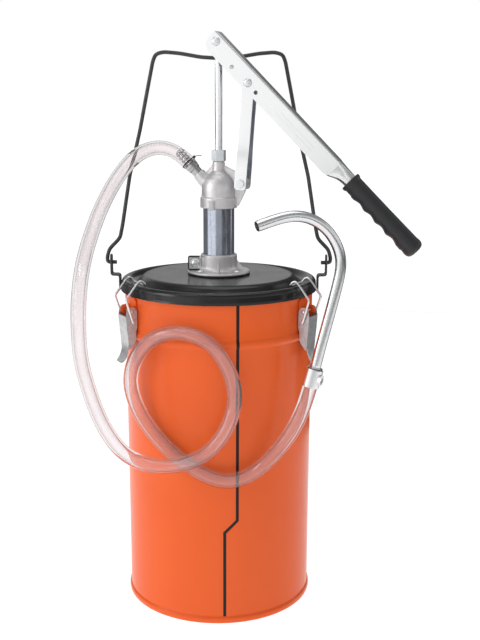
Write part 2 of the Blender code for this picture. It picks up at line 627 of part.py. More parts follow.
# ---------------------------------------------------------------- carry bail, drawn upright above its pivots
BAIL = Matrix.Translation((0.0, 0.0, BAIL_Z * MM)) @ Matrix.Rotation(math.radians(-BAIL_LEAN), 4, "X")
half_bail = [
    (136.0, 0.0), (147.9, 0.0), (148.8, 5.5), (146.0, 17.0), (131.4, 32.0), (127.8, 50.0),
    (118.0, 113.3), (104.0, 173.0), (94.5, 222.0), (86.6, 262.0), (83.0, 270.5), (73.0, 273.5),
    (52.0, 271.8), (24.0, 267.0), (0.0, 265.6)]
left_half = [(-x, z) for x, z in half_bail]
bail_path = [(x, 0.0, z) for x, z in half_bail + left_half[-2::-1]]
carry_bail = wire("carry_bail", fillet(bail_path, 4.0, 1), BAIL_R, DARK, BAIL)
bake(carry_bail)

# ---------------------------------------------------------------- latches, x outward and y sideways
pin_x, pin_z = LATCH_PIN
hole_x, hole_z = WIRE_HOLE
for name, turn_deg in LATCH_TURNS.items():
    around = Matrix.Rotation(math.radians(turn_deg), 4, "Z")
    bracket = block("latch_bracket_" + name, (125.35, -16.2, 384.4), (126.85, 16.2, 421.0), ORANGE, around)
    ear_outline = [(125.6, 387.0), (128.4, 390.0), (129.6, 400.0), (134.0, 404.6), (137.8, 406.6),
                   (139.3, 410.5), (137.8, 414.6), (133.0, 416.8), (128.0, 416.8), (125.6, 416.0)]
    for side in (-1.0, 1.0):
        ear = plate("ear_%s_%d" % (name, side), [ear_outline, circle(pin_x, pin_z, 2.3, 14)], 1.8,
                    matrix=around, centre=side * 9.5, cutter=True)
        combine(bracket, ear, "UNION")
    corner = fillet([(-16.2, 384.4), (16.2, 384.4), (16.2, 421.0), (-16.2, 421.0)], 7.0, 3, closed=True)
    keeper = plate("bracket_keeper_" + name, [corner], 60.0, cutter=True,
                   matrix=around @ Matrix.Translation((130.0 * MM, 0.0, 0.0)) @ TURN_EDGE)
    combine(bracket, keeper, "INTERSECT")
    bake(bracket)

    pin = turned("latch_pin_" + name, [
        (0.0, 14.1), (2.6, 13.9), (3.2, 13.2), (3.2, 12.7), (2.0, 12.7), (2.0, -12.7), (3.2, -12.7),
        (3.2, -13.2), (2.6, -13.9), (0.0, -14.1)], BRIGHT, 12,
        around @ Matrix.Translation((pin_x * MM, 0.0, pin_z * MM))
        @ Matrix.Rotation(math.radians(90.0), 4, "X"), closed=False)
    bake(pin)

    pivot = around @ Matrix.Translation((pin_x * MM, 0.0, pin_z * MM))
    local = Matrix.Translation((-pin_x * MM, 0.0, -pin_z * MM))
    back_path = [(140.6, 404.0), (139.8, 390.0), (138.3, 375.0), (137.6, 365.0), (138.8, 356.0),
                 (142.2, 348.4), (147.0, 343.2)]
    lever = plate("latch_lever_" + name, [strip(back_path, 1.5)], 24.6, GALV, pivot)
    lever.data.transform(local)
    tongue = fillet([(-12.3, 366.0), (-9.5, 362.0), (-9.5, 341.0), (9.5, 341.0), (9.5, 362.0),
                     (12.3, 366.0), (12.3, 420.0), (-12.3, 420.0)], 5.0, 3, closed=True)
    shaper = plate("tongue_" + name, [tongue], 80.0, cutter=True,
                   matrix=around @ Matrix.Translation((pin_x * MM, 0.0, 0.0)) @ TURN_EDGE)
    combine(lever, shaper, "INTERSECT")
    cheek_outline = [(127.8, 388.0), (127.9, 412.0), (130.5, 415.8), (135.5, 416.2), (139.4, 413.0),
                     (141.2, 404.0), (140.3, 388.0), (138.6, 374.0), (138.0, 367.0), (136.0, 367.0)]
    for side in (-1.0, 1.0):
        cheek = plate("cheek_%s_%d" % (name, side),
                      [cheek_outline, circle(pin_x, pin_z, 2.3, 14), circle(hole_x, hole_z, 1.8, 12)],
                      1.5, matrix=around, centre=side * 11.55, cutter=True)
        combine(lever, cheek, "UNION")
    bake(lever)

    hole = around @ Matrix.Translation((hole_x * MM, 0.0, hole_z * MM))
    half_wire = [(0.0, 9.8, 0.0), (0.0, 15.4, 0.0), (2.2, 15.8, 4.0), (11.2, 17.5, 28.8),
                 (-4.6, 17.5, 55.2), (-8.6, 17.5, 57.4), (-12.0, 17.5, 55.4), (-16.0, 17.5, 49.8),
                 (-16.0, 14.0, 49.6)]
    other = [(x, -y, z) for x, y, z in half_wire]
    latch_wire = wire("latch_wire_" + name, fillet(half_wire + other[::-1], 2.4, 1), WIRE_R, GALV, hole)
    bake(latch_wire)

# ---------------------------------------------------------------- hose and nozzle
def smooth_route(points, spacing):
    """Even points along a smooth curve through a route's own points."""
    points = [Vector(p) for p in points]
    ends = [2.0 * points[0] - points[1]] + points + [2.0 * points[-1] - points[-2]]
    fine = []
    for i in range(1, len(ends) - 2):
        a, b, c, d = ends[i - 1], ends[i], ends[i + 1], ends[i + 2]
        for k in range(16):
            t = k / 16.0
            fine.append(0.5 * (2.0 * b + (c - a) * t + (2.0 * a - 5.0 * b + 4.0 * c - d) * t * t
                               + (3.0 * b - a - 3.0 * c + d) * t ** 3))
    fine.append(points[-1])
    lengths = [0.0]
    for i in range(1, len(fine)):
        lengths.append(lengths[-1] + (fine[i] - fine[i - 1]).length)
    count = max(2, int(round(lengths[-1] / spacing)))
    result = []
    place = 0
    for k in range(count + 1):
        want = lengths[-1] * k / count
        while place < len(lengths) - 2 and lengths[place + 1] < want:
            place += 1
        span = lengths[place + 1] - lengths[place]
        t = 0.0 if span == 0.0 else (want - lengths[place]) / span
        result.append(tuple(fine[place].lerp(fine[place + 1], t)))
    return result


def in_mech(u, z, off=0.0):
    """World millimetres of a point of the mechanism plane."""
    return tuple(v / MM for v in (MECH @ Vector((u * MM, off * MM, z * MM))))


unit = math.hypot(*BOSS_DIR)


def along_boss(distance):
    return in_mech(BOSS_END[0] + distance * BOSS_DIR[0] / unit, BOSS_END[1] + distance * BOSS_DIR[1] / unit)


HOSE_START = along_boss(10.3)
HOSE_ROUTE = [
    HOSE_START, along_boss(19.7), (-51, 13, 603), (-67, 13, 611), (-84, 9, 612), (-101, 0, 606),
    (-115, -12, 594), (-128, -28, 577), (-139, -46, 557), (-149, -66, 534), (-158, -92, 504),
    (-164, -115, 475), (-167, -133, 441), (-167, -145, 402), (-164, -151, 363), (-154, -152, 322),
    (-141, -150, 284), (-122, -149, 252), (-105, -149, 238), (-86, -151, 231), (-68, -152, 229),
    (-50, -153, 231), (-33, -154, 236), (-18, -154, 243), (-3, -153, 255), (8, -151, 270),
    (16.5, -149, 287), (22, -145, 307), (22, -141, 328), (17, -138.5, 346), (8, -138, 363),
    (-2, -138, 377), (-15, -137, 388), (-30, -135, 394), (-45, -131, 396), (-60, -125, 394),
    (-76, -118, 387), (-89, -110, 376), (-101, -102, 360), (-109, -95, 341), (-112, -92, 321),
    (-108, -94, 301), (-99, -99, 281), (-85, -108, 263), (-68, -118, 246), (-47, -127, 229.5),
    (-26, -133, 217), (-6, -136.5, 207.5), (14, -137, 203.5), (34, -135, 207.5), (53, -130, 218),
    (73, -125, 237), (93, -120, 262), (107, -116.5, 290), (115.5, -114.5, 318), (123.2, -112.5, 347.4)]
hose = wire("hose", smooth_route(HOSE_ROUTE, 21.0), HOSE_R, CLEAR)
bake(hose)
end = Vector(HOSE_ROUTE[-1])
end_dir = (end - Vector(HOSE_ROUTE[-2])).normalized()

NOZZLE = [
    tuple(end + end_dir * GAP), (130, -110.5, 376), (138, -108, 407), (145, -106, 435),
    (151.5, -104, 463), (153.5, -103.4, 478), (151, -104.1, 491), (142, -106.8, 510),
    (128, -111, 525.5), (109, -116.7, 536), (90, -122.4, 538), (72, -127.8, 534.5), (50, -134.4, 527.5)]
nozzle_pipe = wire("nozzle_tube", smooth_route(NOZZLE, 17.0), NOZZLE_R, ZINC)
nozzle_hollow = wire("nozzle_hollow", [
    tuple(Vector(p) for p in [point])[0] for point in
    [tuple(end - end_dir * 4.0)] + smooth_route(NOZZLE, 17.0)[1:-1]
    + [(44.4, -136.1, 525.7)]], NOZZLE_R - 1.4, cutter=True)
combine(nozzle_pipe, nozzle_hollow, "DIFFERENCE")
bake(nozzle_pipe)
clamp_mid = end - end_dir * 14.0
nozzle_clamp = turned("nozzle_clamp", [(11.2, 12.0), (11.2, -12.0), (9.8, -12.0), (9.8, 12.0)], GALV, 16,
                      axis_frame(clamp_mid, end_dir))
clamp_ear = block("clamp_ear", (9.9, -3.0, -6.0), (14.6, 3.0, 6.0), matrix=axis_frame(clamp_mid, end_dir),
                  cutter=True)
combine(nozzle_clamp, clamp_ear, "UNION")
bake(nozzle_clamp)

# the cutters have done their work
for obj in list(CUTTERS.objects):
    bpy.data.objects.remove(obj, do_unlink=True)
bpy.context.view_layer.update()
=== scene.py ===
"""Looks of the gear oil pump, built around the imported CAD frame.

Lengths in the shape tables are millimetres and are scaled by MM where they
reach a mesh.  +Z is up and the front faces -Y.
"""
import math

import bmesh
import bpy
from mathutils import Matrix, Vector


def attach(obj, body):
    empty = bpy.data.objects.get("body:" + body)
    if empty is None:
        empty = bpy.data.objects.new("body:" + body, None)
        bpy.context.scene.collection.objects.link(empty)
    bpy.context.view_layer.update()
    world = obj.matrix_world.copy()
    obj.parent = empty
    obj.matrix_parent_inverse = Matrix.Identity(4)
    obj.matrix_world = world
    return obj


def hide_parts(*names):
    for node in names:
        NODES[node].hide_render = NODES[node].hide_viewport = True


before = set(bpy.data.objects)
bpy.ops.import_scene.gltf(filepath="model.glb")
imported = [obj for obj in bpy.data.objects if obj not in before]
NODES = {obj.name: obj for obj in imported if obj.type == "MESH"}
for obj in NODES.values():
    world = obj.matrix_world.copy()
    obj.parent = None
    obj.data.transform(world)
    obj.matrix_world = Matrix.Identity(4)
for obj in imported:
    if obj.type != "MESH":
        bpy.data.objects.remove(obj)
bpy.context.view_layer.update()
MM = 0.001
MERGE = 0.000005            # metres within which two points are one
TURN = 2.0 * math.pi


def rad(degrees):
    return math.radians(degrees)


# ---------------- camera
CAMERA_PLACE = (0.02857, -1.35131, 0.67523)     # metres
CAMERA_DIP = 13.917                             # degrees below level
CAMERA_ROLL = 0.00333                           # radians
camera_data = bpy.data.cameras.new("camera")
camera_data.sensor_width = 36.0
camera_data.lens = 57.49
camera_data.shift_y = 0.0482
camera_data.clip_start = 0.05
camera_data.clip_end = 60.0
camera = bpy.data.objects.new("camera", camera_data)
bpy.context.scene.collection.objects.link(camera)
camera.matrix_world = (Matrix.Translation(CAMERA_PLACE)
                       @ Matrix.Rotation(rad(90.0 - CAMERA_DIP), 4, "X")
                       @ Matrix.Rotation(CAMERA_ROLL, 4, "Z"))
bpy.context.scene.camera = camera


# ---------------- shape helpers
def circle(cx, cy, radius, count=32):
    """Points of a circle in a drawing."""
    return [(cx + radius * math.cos(TURN * i / count), cy + radius * math.sin(TURN * i / count))
            for i in range(count)]


def fillet(points, radius, count=4, closed=False):
    """Replace each corner of a polyline by a short curve of about this radius."""
    points = [Vector(p) for p in points]
    total = len(points)
    result = []
    for i, point in enumerate(points):
        if not closed and i in (0, total - 1):
            result.append(point)
            continue
        before = points[i - 1] - point
        after = points[(i + 1) % total] - point
        reach = min(radius, before.length * 0.48, after.length * 0.48)
        start = point + before.normalized() * reach
        end = point + after.normalized() * reach
        for k in range(count + 1):
            t = k / count
            result.append(start.lerp(point, t).lerp(point.lerp(end, t), t))
    return [tuple(p) for p in result]


def side_normal(points, i):
    """Unit normal of a 2D path at a point, and how far a mitre there reaches."""
    ahead = points[min(i + 1, len(points) - 1)] - points[i]
    behind = points[i] - points[max(i - 1, 0)]
    ahead = behind if ahead.length < 1e-9 else ahead
    behind = ahead if behind.length < 1e-9 else behind
    first = Vector((-ahead.y, ahead.x)).normalized()
    normal = (first + Vector((-behind.y, behind.x)).normalized()).normalized()
    return normal, 1.0 / max(normal.dot(first), 0.55)


def strip(path, thickness, share=0.5):
    """Closed outline of a strip of sheet along a 2D path, share of it on the left."""
    path = [Vector(p) for p in path]
    left = []
    right = []
    for i, point in enumerate(path):
        normal, reach = side_normal(path, i)
        left.append(tuple(point + normal * thickness * share * reach))
        right.append(tuple(point - normal * thickness * (1.0 - share) * reach))
    return left + right[::-1]


def add_object(name, mesh, mat=None, matrix=None):
    """Link a mesh as an object, with its finish and place."""
    obj = bpy.data.objects.new(name, mesh)
    bpy.context.scene.collection.objects.link(obj)
    if mat is not None:
        mesh.materials.clear()
        mesh.materials.append(mat)
    if matrix is not None:
        obj.matrix_world = matrix
    return obj


def lathe(name, profile, mat=None, steps=96, matrix=None, closed=True):
    """A turned shape from (radius, height) points."""
    mesh = bpy.data.meshes.new(name)
    edges = [(i, i + 1) for i in range(len(profile) - 1)]
    if closed:
        edges.append((len(profile) - 1, 0))
    mesh.from_pydata([(r * MM, 0.0, z * MM) for r, z in profile], edges, [])
    obj = add_object(name, mesh, mat, matrix)
    screw = obj.modifiers.new("turn", "SCREW")
    screw.axis = "Z"
    screw.angle = TURN
    screw.steps = screw.render_steps = steps
    screw.use_merge_vertices = True
    screw.merge_threshold = MERGE
    settle(obj, 0.0)
    outward(obj)
    return obj


def outward(obj):
    """Turn every face outwards."""
    work = bmesh.new()
    work.from_mesh(obj.data)
    bmesh.ops.recalc_face_normals(work, faces=work.faces)
    work.to_mesh(obj.data)
    work.free()


def from_curve(name, curve):
    """The mesh of a curve; the curve is used up."""
    holder = bpy.data.objects.new(name + "_curve", curve)
    bpy.context.scene.collection.objects.link(holder)
    bpy.context.view_layer.update()
    graph = bpy.context.evaluated_depsgraph_get()
    mesh = bpy.data.meshes.new_from_object(holder.evaluated_get(graph))
    bpy.data.objects.remove(holder, do_unlink=True)
    bpy.data.curves.remove(curve)
    work = bmesh.new()
    work.from_mesh(mesh)
    bmesh.ops.remove_doubles(work, verts=work.verts, dist=MERGE)
    bmesh.ops.recalc_face_normals(work, faces=work.faces)
    work.to_mesh(mesh)
    work.free()
    return mesh


STAND = Matrix.Rotation(rad(90.0), 4, "X")            # drawing (x, y) to (x, z)
TURN_EDGE = Matrix.Rotation(rad(90.0), 4, "Z")        # drawing x to y


def plate(name, loops, thickness, mat=None, matrix=None, centre=0.0):
    """A flat outline with holes, drawn in x and z, and thick along y about centre."""
    curve = bpy.data.curves.new(name, "CURVE")
    curve.dimensions = "2D"
    curve.fill_mode = "BOTH"
    curve.extrude = 0.5 * thickness * MM
    curve.render_resolution_u = 0
    for loop in loops:
        spline = curve.splines.new("POLY")
        spline.points.add(len(loop) - 1)
        for point, (x, y) in zip(spline.points, loop):
            point.co = (x * MM, y * MM, 0.0, 1.0)
        spline.use_cyclic_u = True
    mesh = from_curve(name, curve)
    mesh.transform(Matrix.Translation((0.0, centre * MM, 0.0)) @ STAND)
    return add_object(name, mesh, mat, matrix)


def rod(name, start, end, radius, mat=None, matrix=None, sides=40, far=None):
    """A cylinder or cone from one point to another."""
    start = Vector(start) * MM
    end = Vector(end) * MM
    axis = end - start
    mesh = bpy.data.meshes.new(name)
    work = bmesh.new()
    bmesh.ops.create_cone(work, cap_ends=True, segments=sides, radius1=radius * MM,
                          radius2=(radius if far is None else far) * MM, depth=axis.length)
    turn = Vector((0.0, 0.0, 1.0)).rotation_difference(axis).to_matrix().to_4x4()
    work.transform(Matrix.Translation(0.5 * (start + end)) @ turn)
    work.to_mesh(mesh)
    work.free()
    return add_object(name, mesh, mat, matrix)


def block(name, low, high, mat=None, matrix=None):
    """A box between two corners."""
    low = Vector(low) * MM
    high = Vector(high) * MM
    mesh = bpy.data.meshes.new(name)
    work = bmesh.new()
    bmesh.ops.create_cube(work, size=1.0)
    bmesh.ops.scale(work, vec=high - low, verts=work.verts)
    bmesh.ops.translate(work, vec=0.5 * (low + high), verts=work.verts)
    work.to_mesh(mesh)
    work.free()
    return add_object(name, mesh, mat, matrix)


def settle(obj, smooth=32.0):
    """Apply the modifiers, then shade smoothly between sharp edges."""
    bpy.context.view_layer.update()
    graph = bpy.context.evaluated_depsgraph_get()
    mesh = bpy.data.meshes.new_from_object(obj.evaluated_get(graph))
    mats = list(obj.data.materials)
    obj.modifiers.clear()
    obj.data = mesh
    mesh.materials.clear()
    for mat in mats:
        mesh.materials.append(mat)
    for polygon in mesh.polygons:
        polygon.material_index = 0
    if smooth:
        mesh.shade_smooth()
        mesh.set_sharp_from_angle(angle=rad(smooth))
    return obj


def combine(obj, tool, operation):
    """One Boolean step; the tool is used up."""
    mod = obj.modifiers.new(operation.lower(), "BOOLEAN")
    mod.operation = operation
    mod.solver = "EXACT"
    mod.object = tool
    settle(obj, 0.0)
    bpy.data.objects.remove(tool, do_unlink=True)
    return obj


def soften(obj, width, segments=2, angle=34.0, smooth=32.0):
    """Round every sharp edge a little, so that it catches the light."""
    mod = obj.modifiers.new("edge", "BEVEL")
    mod.width = width * MM
    mod.segments = segments
    mod.limit_method = "ANGLE"
    mod.angle_limit = rad(angle)
    settle(obj, smooth)
    normals = obj.modifiers.new("normals", "WEIGHTED_NORMAL")
    normals.keep_sharp = True
    return obj


def melt(obj, voxel, rounds):
    """Melt a casting's parts into one skin with soft inner corners."""
    mod = obj.modifiers.new("skin", "REMESH")
    mod.mode = "VOXEL"
    mod.voxel_size = voxel * MM
    even = obj.modifiers.new("even", "SMOOTH")
    even.factor = 0.5
    even.iterations = rounds
    settle(obj, 60.0)


def smooth_route(points, spacing):
    """Even points along a smooth curve through a route's own points."""
    points = [Vector(p) for p in points]
    ends = [2.0 * points[0] - points[1]] + points + [2.0 * points[-1] - points[-2]]
    fine = []
    for i in range(1, len(ends) - 2):
        a, b, c, d = ends[i - 1], ends[i], ends[i + 1], ends[i + 2]
        for k in range(16):
            t = k / 16.0
            fine.append(0.5 * (2.0 * b + (c - a) * t + (2.0 * a - 5.0 * b + 4.0 * c - d) * t * t
                               + (3.0 * b - a - 3.0 * c + d) * t ** 3))
    fine.append(points[-1])
    lengths = [0.0]
    for i in range(1, len(fine)):
        lengths.append(lengths[-1] + (fine[i] - fine[i - 1]).length)
    count = max(2, int(round(lengths[-1] / spacing)))
    result = []
    place = 0
    for k in range(count + 1):
        want = lengths[-1] * k / count
        while place < len(lengths) - 2 and lengths[place + 1] < want:
            place += 1
        span = lengths[place + 1] - lengths[place]
        t = 0.0 if span == 0.0 else (want - lengths[place]) / span
        result.append(fine[place].lerp(fine[place + 1], t))
    return result


def relax(points, rounds):
    """Ease the bends of a route without moving its two ends or their directions."""
    points = [Vector(p) for p in points]
    for _ in range(rounds):
        points = points[:2] + [(points[i - 1] + 2.0 * points[i] + points[i + 1]) / 4.0
                               for i in range(2, len(points) - 2)] + points[-2:]
    return points


def frames_along(points):
    """A centre and two cross directions at each point, turning as little as possible."""
    tangents = []
    for i in range(len(points)):
        tangents.append((points[min(i + 1, len(points) - 1)] - points[max(i - 1, 0)]).normalized())
    side = tangents[0].orthogonal().normalized()
    result = []
    for i, point in enumerate(points):
        if i:
            side = tangents[i - 1].rotation_difference(tangents[i]) @ side
            side = (side - side.dot(tangents[i]) * tangents[i]).normalized()
        result.append((point, side, tangents[i].cross(side)))
    return result


def skin(name, rings, mat=None, matrix=None, loop=False):
    """A mesh over rings of points in mm, capped, or joined into a closed loop."""
    sides = len(rings[0])
    mesh = bpy.data.meshes.new(name)
    work = bmesh.new()
    rows = [[work.verts.new(Vector(p) * MM) for p in ring] for ring in rings]
    pairs = list(zip(rows, rows[1:])) + ([(rows[-1], rows[0])] if loop else [])
    for low, high in pairs:
        for k in range(sides):
            work.faces.new((low[k], low[(k + 1) % sides], high[(k + 1) % sides], high[k]))
    if not loop:
        work.faces.new(rows[0][::-1])
        work.faces.new(rows[-1])
    bmesh.ops.recalc_face_normals(work, faces=work.faces)
    work.to_mesh(mesh)
    work.free()
    return add_object(name, mesh, mat, matrix)


def pipe(name, points, radii, mat=None, matrix=None, sides=32, bore=None):
    """A round tube along a route, with a radius for each point, and a bore if it is hollow."""
    placed = frames_along([Vector(p) for p in points])

    def ring(index, radius):
        centre, across, up = placed[index]
        return [centre + radius * (math.cos(TURN * k / sides) * across
                                   + math.sin(TURN * k / sides) * up) for k in range(sides)]

    outer = [ring(i, radii[i]) for i in range(len(placed))]
    if bore is None:
        return settle(skin(name, outer, mat, matrix))
    inner = [ring(i, bore[i]) for i in range(len(placed))]
    return settle(skin(name, outer + inner[::-1], mat, matrix, loop=True), 50.0)


def wire(name, points, radius, mat, matrix=None, sides=20):
    """A round wire through filleted points."""
    return pipe(name, points, [radius] * len(points), mat, matrix, sides)


def hexagon(name, radius, low, high, chamfer, mat, turn=0.0, both=False):
    """A bolt head or nut along Z, its corners chamfered by a cone."""
    head = rod(name, (0, 0, low), (0, 0, high), radius, mat, None, 6)
    head.data.transform(Matrix.Rotation(rad(turn), 4, "Z"))
    rise = chamfer * 0.55
    profile = [(0.0, high + 0.02), (radius - chamfer, high + 0.02), (radius + 0.2, high - rise)]
    if both:
        profile += [(radius + 0.2, low + rise), (radius - chamfer, low - 0.02), (0.0, low - 0.02)]
    else:
        profile += [(radius + 0.2, low - 1.0), (0.0, low - 1.0)]
    combine(head, lathe(name + "_cone", profile, steps=64, closed=False), "INTERSECT")
    soften(head, 0.25)
    return head


def done(obj, body, slot, *nodes):
    """Settle a piece in the frame: its body and the nodes it stands for; the slot argument is not
    used.
    """
    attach(obj, body)
    if nodes:
        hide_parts(*nodes)


# ---------------- materials
# how sharply the painted edge shade comes in towards the edges
EDGE_SHADE_BLEND = 0.20
NOISE_LOW, NOISE_HIGH = 0.3, 0.7            # the part of a noise that carries its pattern


def surface(name, colour, second, metallic, rough, spread=0.06, grain=60.0, blotch=14.0,
            stretch=(1.0, 1.0, 1.0), bump=0.15, bump_scale=900.0, depth=0.00004, cells=0.0,
            painted_edge_shade=None, **sockets):
    """A finish with mottled colour, uneven roughness and a fine grain.

    cells gives it spangles in place of soft mottling; the edge colour argument is a painted shade
    mixed in where the surface is seen edge on.
    Each further keyword is a socket of the shader.
    """
    mat = bpy.data.materials.new(name)
    mat.use_nodes = True
    tree = mat.node_tree
    shader = tree.nodes["Principled BSDF"]
    shader.inputs["Metallic"].default_value = metallic
    for key, value in sockets.items():
        shader.inputs[key.replace("_", " ")].default_value = value

    def node(kind, **values):
        made = tree.nodes.new(kind)
        for key, value in values.items():
            made.inputs[key].default_value = value
        return made

    coord = node("ShaderNodeTexCoord")
    place = node("ShaderNodeMapping", Scale=stretch)
    tree.links.new(coord.outputs["Object"], place.inputs["Vector"])
    if cells:
        tone = node("ShaderNodeTexVoronoi", Scale=cells)
        tree.links.new(place.outputs["Vector"], tone.inputs["Vector"])
        split = node("ShaderNodeSeparateColor")
        tree.links.new(tone.outputs["Color"], split.inputs["Color"])
        tone_out = split.outputs["Red"]
    else:
        tone = node("ShaderNodeTexNoise", Scale=grain, Detail=5.0, Roughness=0.6)
        tree.links.new(place.outputs["Vector"], tone.inputs["Vector"])
        tone_out = tone.outputs["Fac"]
    ramp = node("ShaderNodeValToRGB")
    ramp.color_ramp.elements[0].position = NOISE_LOW
    ramp.color_ramp.elements[0].color = (*second, 1.0)
    ramp.color_ramp.elements[1].position = NOISE_HIGH
    ramp.color_ramp.elements[1].color = (*colour, 1.0)
    tree.links.new(tone_out, ramp.inputs["Fac"])
    colour_out = ramp.outputs["Color"]
    # painted shade: where the surface is seen edge on, its base colour turns to the darker edge
    # colour
    if painted_edge_shade:
        edge = node("ShaderNodeLayerWeight", Blend=EDGE_SHADE_BLEND)
        mix = node("ShaderNodeMix")
        mix.data_type = "RGBA"
        mix.inputs["B"].default_value = (*painted_edge_shade, 1.0)
        tree.links.new(edge.outputs["Facing"], mix.inputs["Factor"])
        tree.links.new(colour_out, mix.inputs["A"])
        colour_out = mix.outputs["Result"]
    tree.links.new(colour_out, shader.inputs["Base Color"])

    patches = node("ShaderNodeTexNoise", Scale=blotch, Detail=4.0, Roughness=0.65)
    tree.links.new(place.outputs["Vector"], patches.inputs["Vector"])
    span = node("ShaderNodeMapRange")
    span.inputs["From Min"].default_value = NOISE_LOW
    span.inputs["From Max"].default_value = NOISE_HIGH
    span.inputs["To Min"].default_value = max(rough - spread, 0.0)
    span.inputs["To Max"].default_value = rough + spread
    tree.links.new(patches.outputs["Fac"], span.inputs["Value"])
    tree.links.new(span.outputs["Result"], shader.inputs["Roughness"])

    grains = node("ShaderNodeTexNoise", Scale=bump_scale, Detail=3.0)
    tree.links.new(place.outputs["Vector"], grains.inputs["Vector"])
    relief = node("ShaderNodeBump", Strength=bump, Distance=depth)
    tree.links.new(grains.outputs["Fac"], relief.inputs["Height"])
    tree.links.new(relief.outputs["Normal"], shader.inputs["Normal"])
    return mat


ORANGE = surface("orange_enamel", (0.93, 0.138, 0.024), (0.90, 0.126, 0.021), 0.0, 0.26, 0.012,
                 grain=9.0, bump=0.05, bump_scale=420.0, Specular_IOR_Level=0.2, Coat_Weight=0.08,
                 Coat_Roughness=0.05)
BLACK = surface("black_enamel", (0.009, 0.009, 0.010), (0.007, 0.007, 0.0075), 0.0, 0.25, 0.04,
                grain=12.0, bump=0.08, bump_scale=500.0)
STRIPE = surface("stripe_ink", (0.004, 0.004, 0.0045), (0.006, 0.006, 0.006), 0.0, 0.45, 0.04,
                 Specular_IOR_Level=0.3)
CAST = surface("cast_alloy", (0.72, 0.705, 0.71), (0.63, 0.615, 0.62), 0.84, 0.45, 0.06,
               grain=170.0, blotch=40.0, bump=0.35, bump_scale=1000.0, depth=0.00007)
ZINC = surface("zinc_tube", (0.59, 0.63, 0.72), (0.49, 0.53, 0.62), 1.0, 0.20, 0.04, grain=330.0,
               blotch=60.0, stretch=(1.0, 1.0, 0.6), bump=0.08)
BRIGHT = surface("bright_zinc_sheet", (0.905, 0.91, 0.915), (0.885, 0.89, 0.897), 1.0, 0.27, 0.02,
                 grain=24.0, blotch=18.0, stretch=(0.25, 1.0, 1.0), bump=0.025, bump_scale=400.0)
RIVET = surface("rivet_zinc", (0.74, 0.745, 0.77), (0.68, 0.685, 0.71), 0.6, 0.36, 0.05, grain=80.0,
                bump=0.08)
STEEL = surface("turned_steel", (0.89, 0.90, 0.92), (0.82, 0.83, 0.85), 1.0, 0.22, 0.04, grain=80.0,
                stretch=(1.0, 1.0, 0.3), bump=0.03)
# the nozzle's base colour darkens towards its edges: painted shade standing in for dark reflections
NOZZLE_STEEL = surface("nozzle_zinc", (0.80, 0.81, 0.82), (0.74, 0.75, 0.76), 1.0, 0.25, 0.03,
                       grain=30.0, blotch=30.0, bump=0.02, bump_scale=300.0, painted_edge_shade=(0.16, 0.16, 0.18))
BARB_STEEL = surface("barb_zinc", (0.52, 0.52, 0.53), (0.42, 0.42, 0.43), 1.0, 0.24, 0.05,
                     grain=120.0, bump=0.1)
NUT_ZINC = surface("nut_zinc", (0.86, 0.90, 0.92), (0.78, 0.82, 0.84), 0.75, 0.33, 0.05,
                   grain=120.0, bump=0.1)
# painted shade: a darker, bluer copy of the bright zinc sheet, for the rear link that stands in
# shade
SHADED_LINK_ZINC = surface("shaded_link_zinc_sheet", (0.47, 0.49, 0.545), (0.40, 0.42, 0.475), 1.0, 0.25, 0.05,
                    grain=60.0, bump=0.08)
GALV = surface("galvanised_sheet", (0.60, 0.60, 0.61), (0.52, 0.52, 0.53), 0.65, 0.34, 0.06,
               cells=260.0, blotch=60.0, bump=0.12)
WIRE = surface("galvanised_wire", (0.86, 0.86, 0.865), (0.76, 0.76, 0.765), 1.0, 0.30, 0.06,
               grain=200.0, bump=0.15)
CLAMP = surface("clamp_steel", (0.86, 0.865, 0.87), (0.78, 0.785, 0.79), 1.0, 0.30, 0.06,
                grain=90.0, bump=0.12)
DARK = surface("dark_wire", (0.060, 0.062, 0.062), (0.040, 0.041, 0.042), 0.35, 0.42, 0.08,
               grain=150.0, bump=0.35, bump_scale=700.0)
RUBBER = surface("grip_rubber", (0.020, 0.020, 0.023), (0.015, 0.015, 0.017), 0.0, 0.48, 0.06,
                 grain=90.0, bump=0.3, bump_scale=1600.0, depth=0.00005)
SEAL = surface("seal_rubber", (0.030, 0.030, 0.030), (0.022, 0.022, 0.022), 0.0, 0.62, 0.05)
BRASS = surface("machined_brass", (0.72, 0.52, 0.22), (0.62, 0.43, 0.17), 1.0, 0.30, 0.06)
# the hose's base colour turns almost black at its edges: painted shade standing in for the dark
# lines of refraction
CLEAR = surface("clear_vinyl", (0.985, 0.945, 0.950), (0.965, 0.925, 0.930), 0.0, 0.035, 0.012,
                grain=14.0, bump=0.0, painted_edge_shade=(0.07, 0.066, 0.07), Transmission_Weight=0.95, IOR=1.07,
                Coat_Weight=0.85, Coat_Roughness=0.03)

# ---------------- frames of the mechanism
# the three pins in the mechanism's plane: rod, fulcrum, foot of the links
PIN1, PIN2, PIN3 = (0.0, 743.8), (41.5, 693.4), (32.2, 566.8)
LEVER_DROP = 44.8                                     # degrees below level at rest
BOSS_END = (-27.2, 578.1)
BOSS_DIR = (-0.70, 0.714)
BAIL_Z = 462.0
MECH = Matrix.Rotation(rad(-15.0), 4, "Z")            # the plane that the lever moves in


def mech_at(pin):
    """A frame on a pin of the mechanism."""
    return MECH @ Matrix.Translation((pin[0] * MM, 0.0, pin[1] * MM))


def in_mech(u, z):
    """A point in the mechanism's plane."""
    return MECH @ Vector((u, 0.0, z))


def axis_frame(origin, direction):
    """A frame whose Z runs along a direction."""
    turn = Vector((0.0, 0.0, 1.0)).rotation_difference(Vector(direction).normalized())
    return Matrix.Translation(Vector(origin) * MM) @ turn.to_matrix().to_4x4()


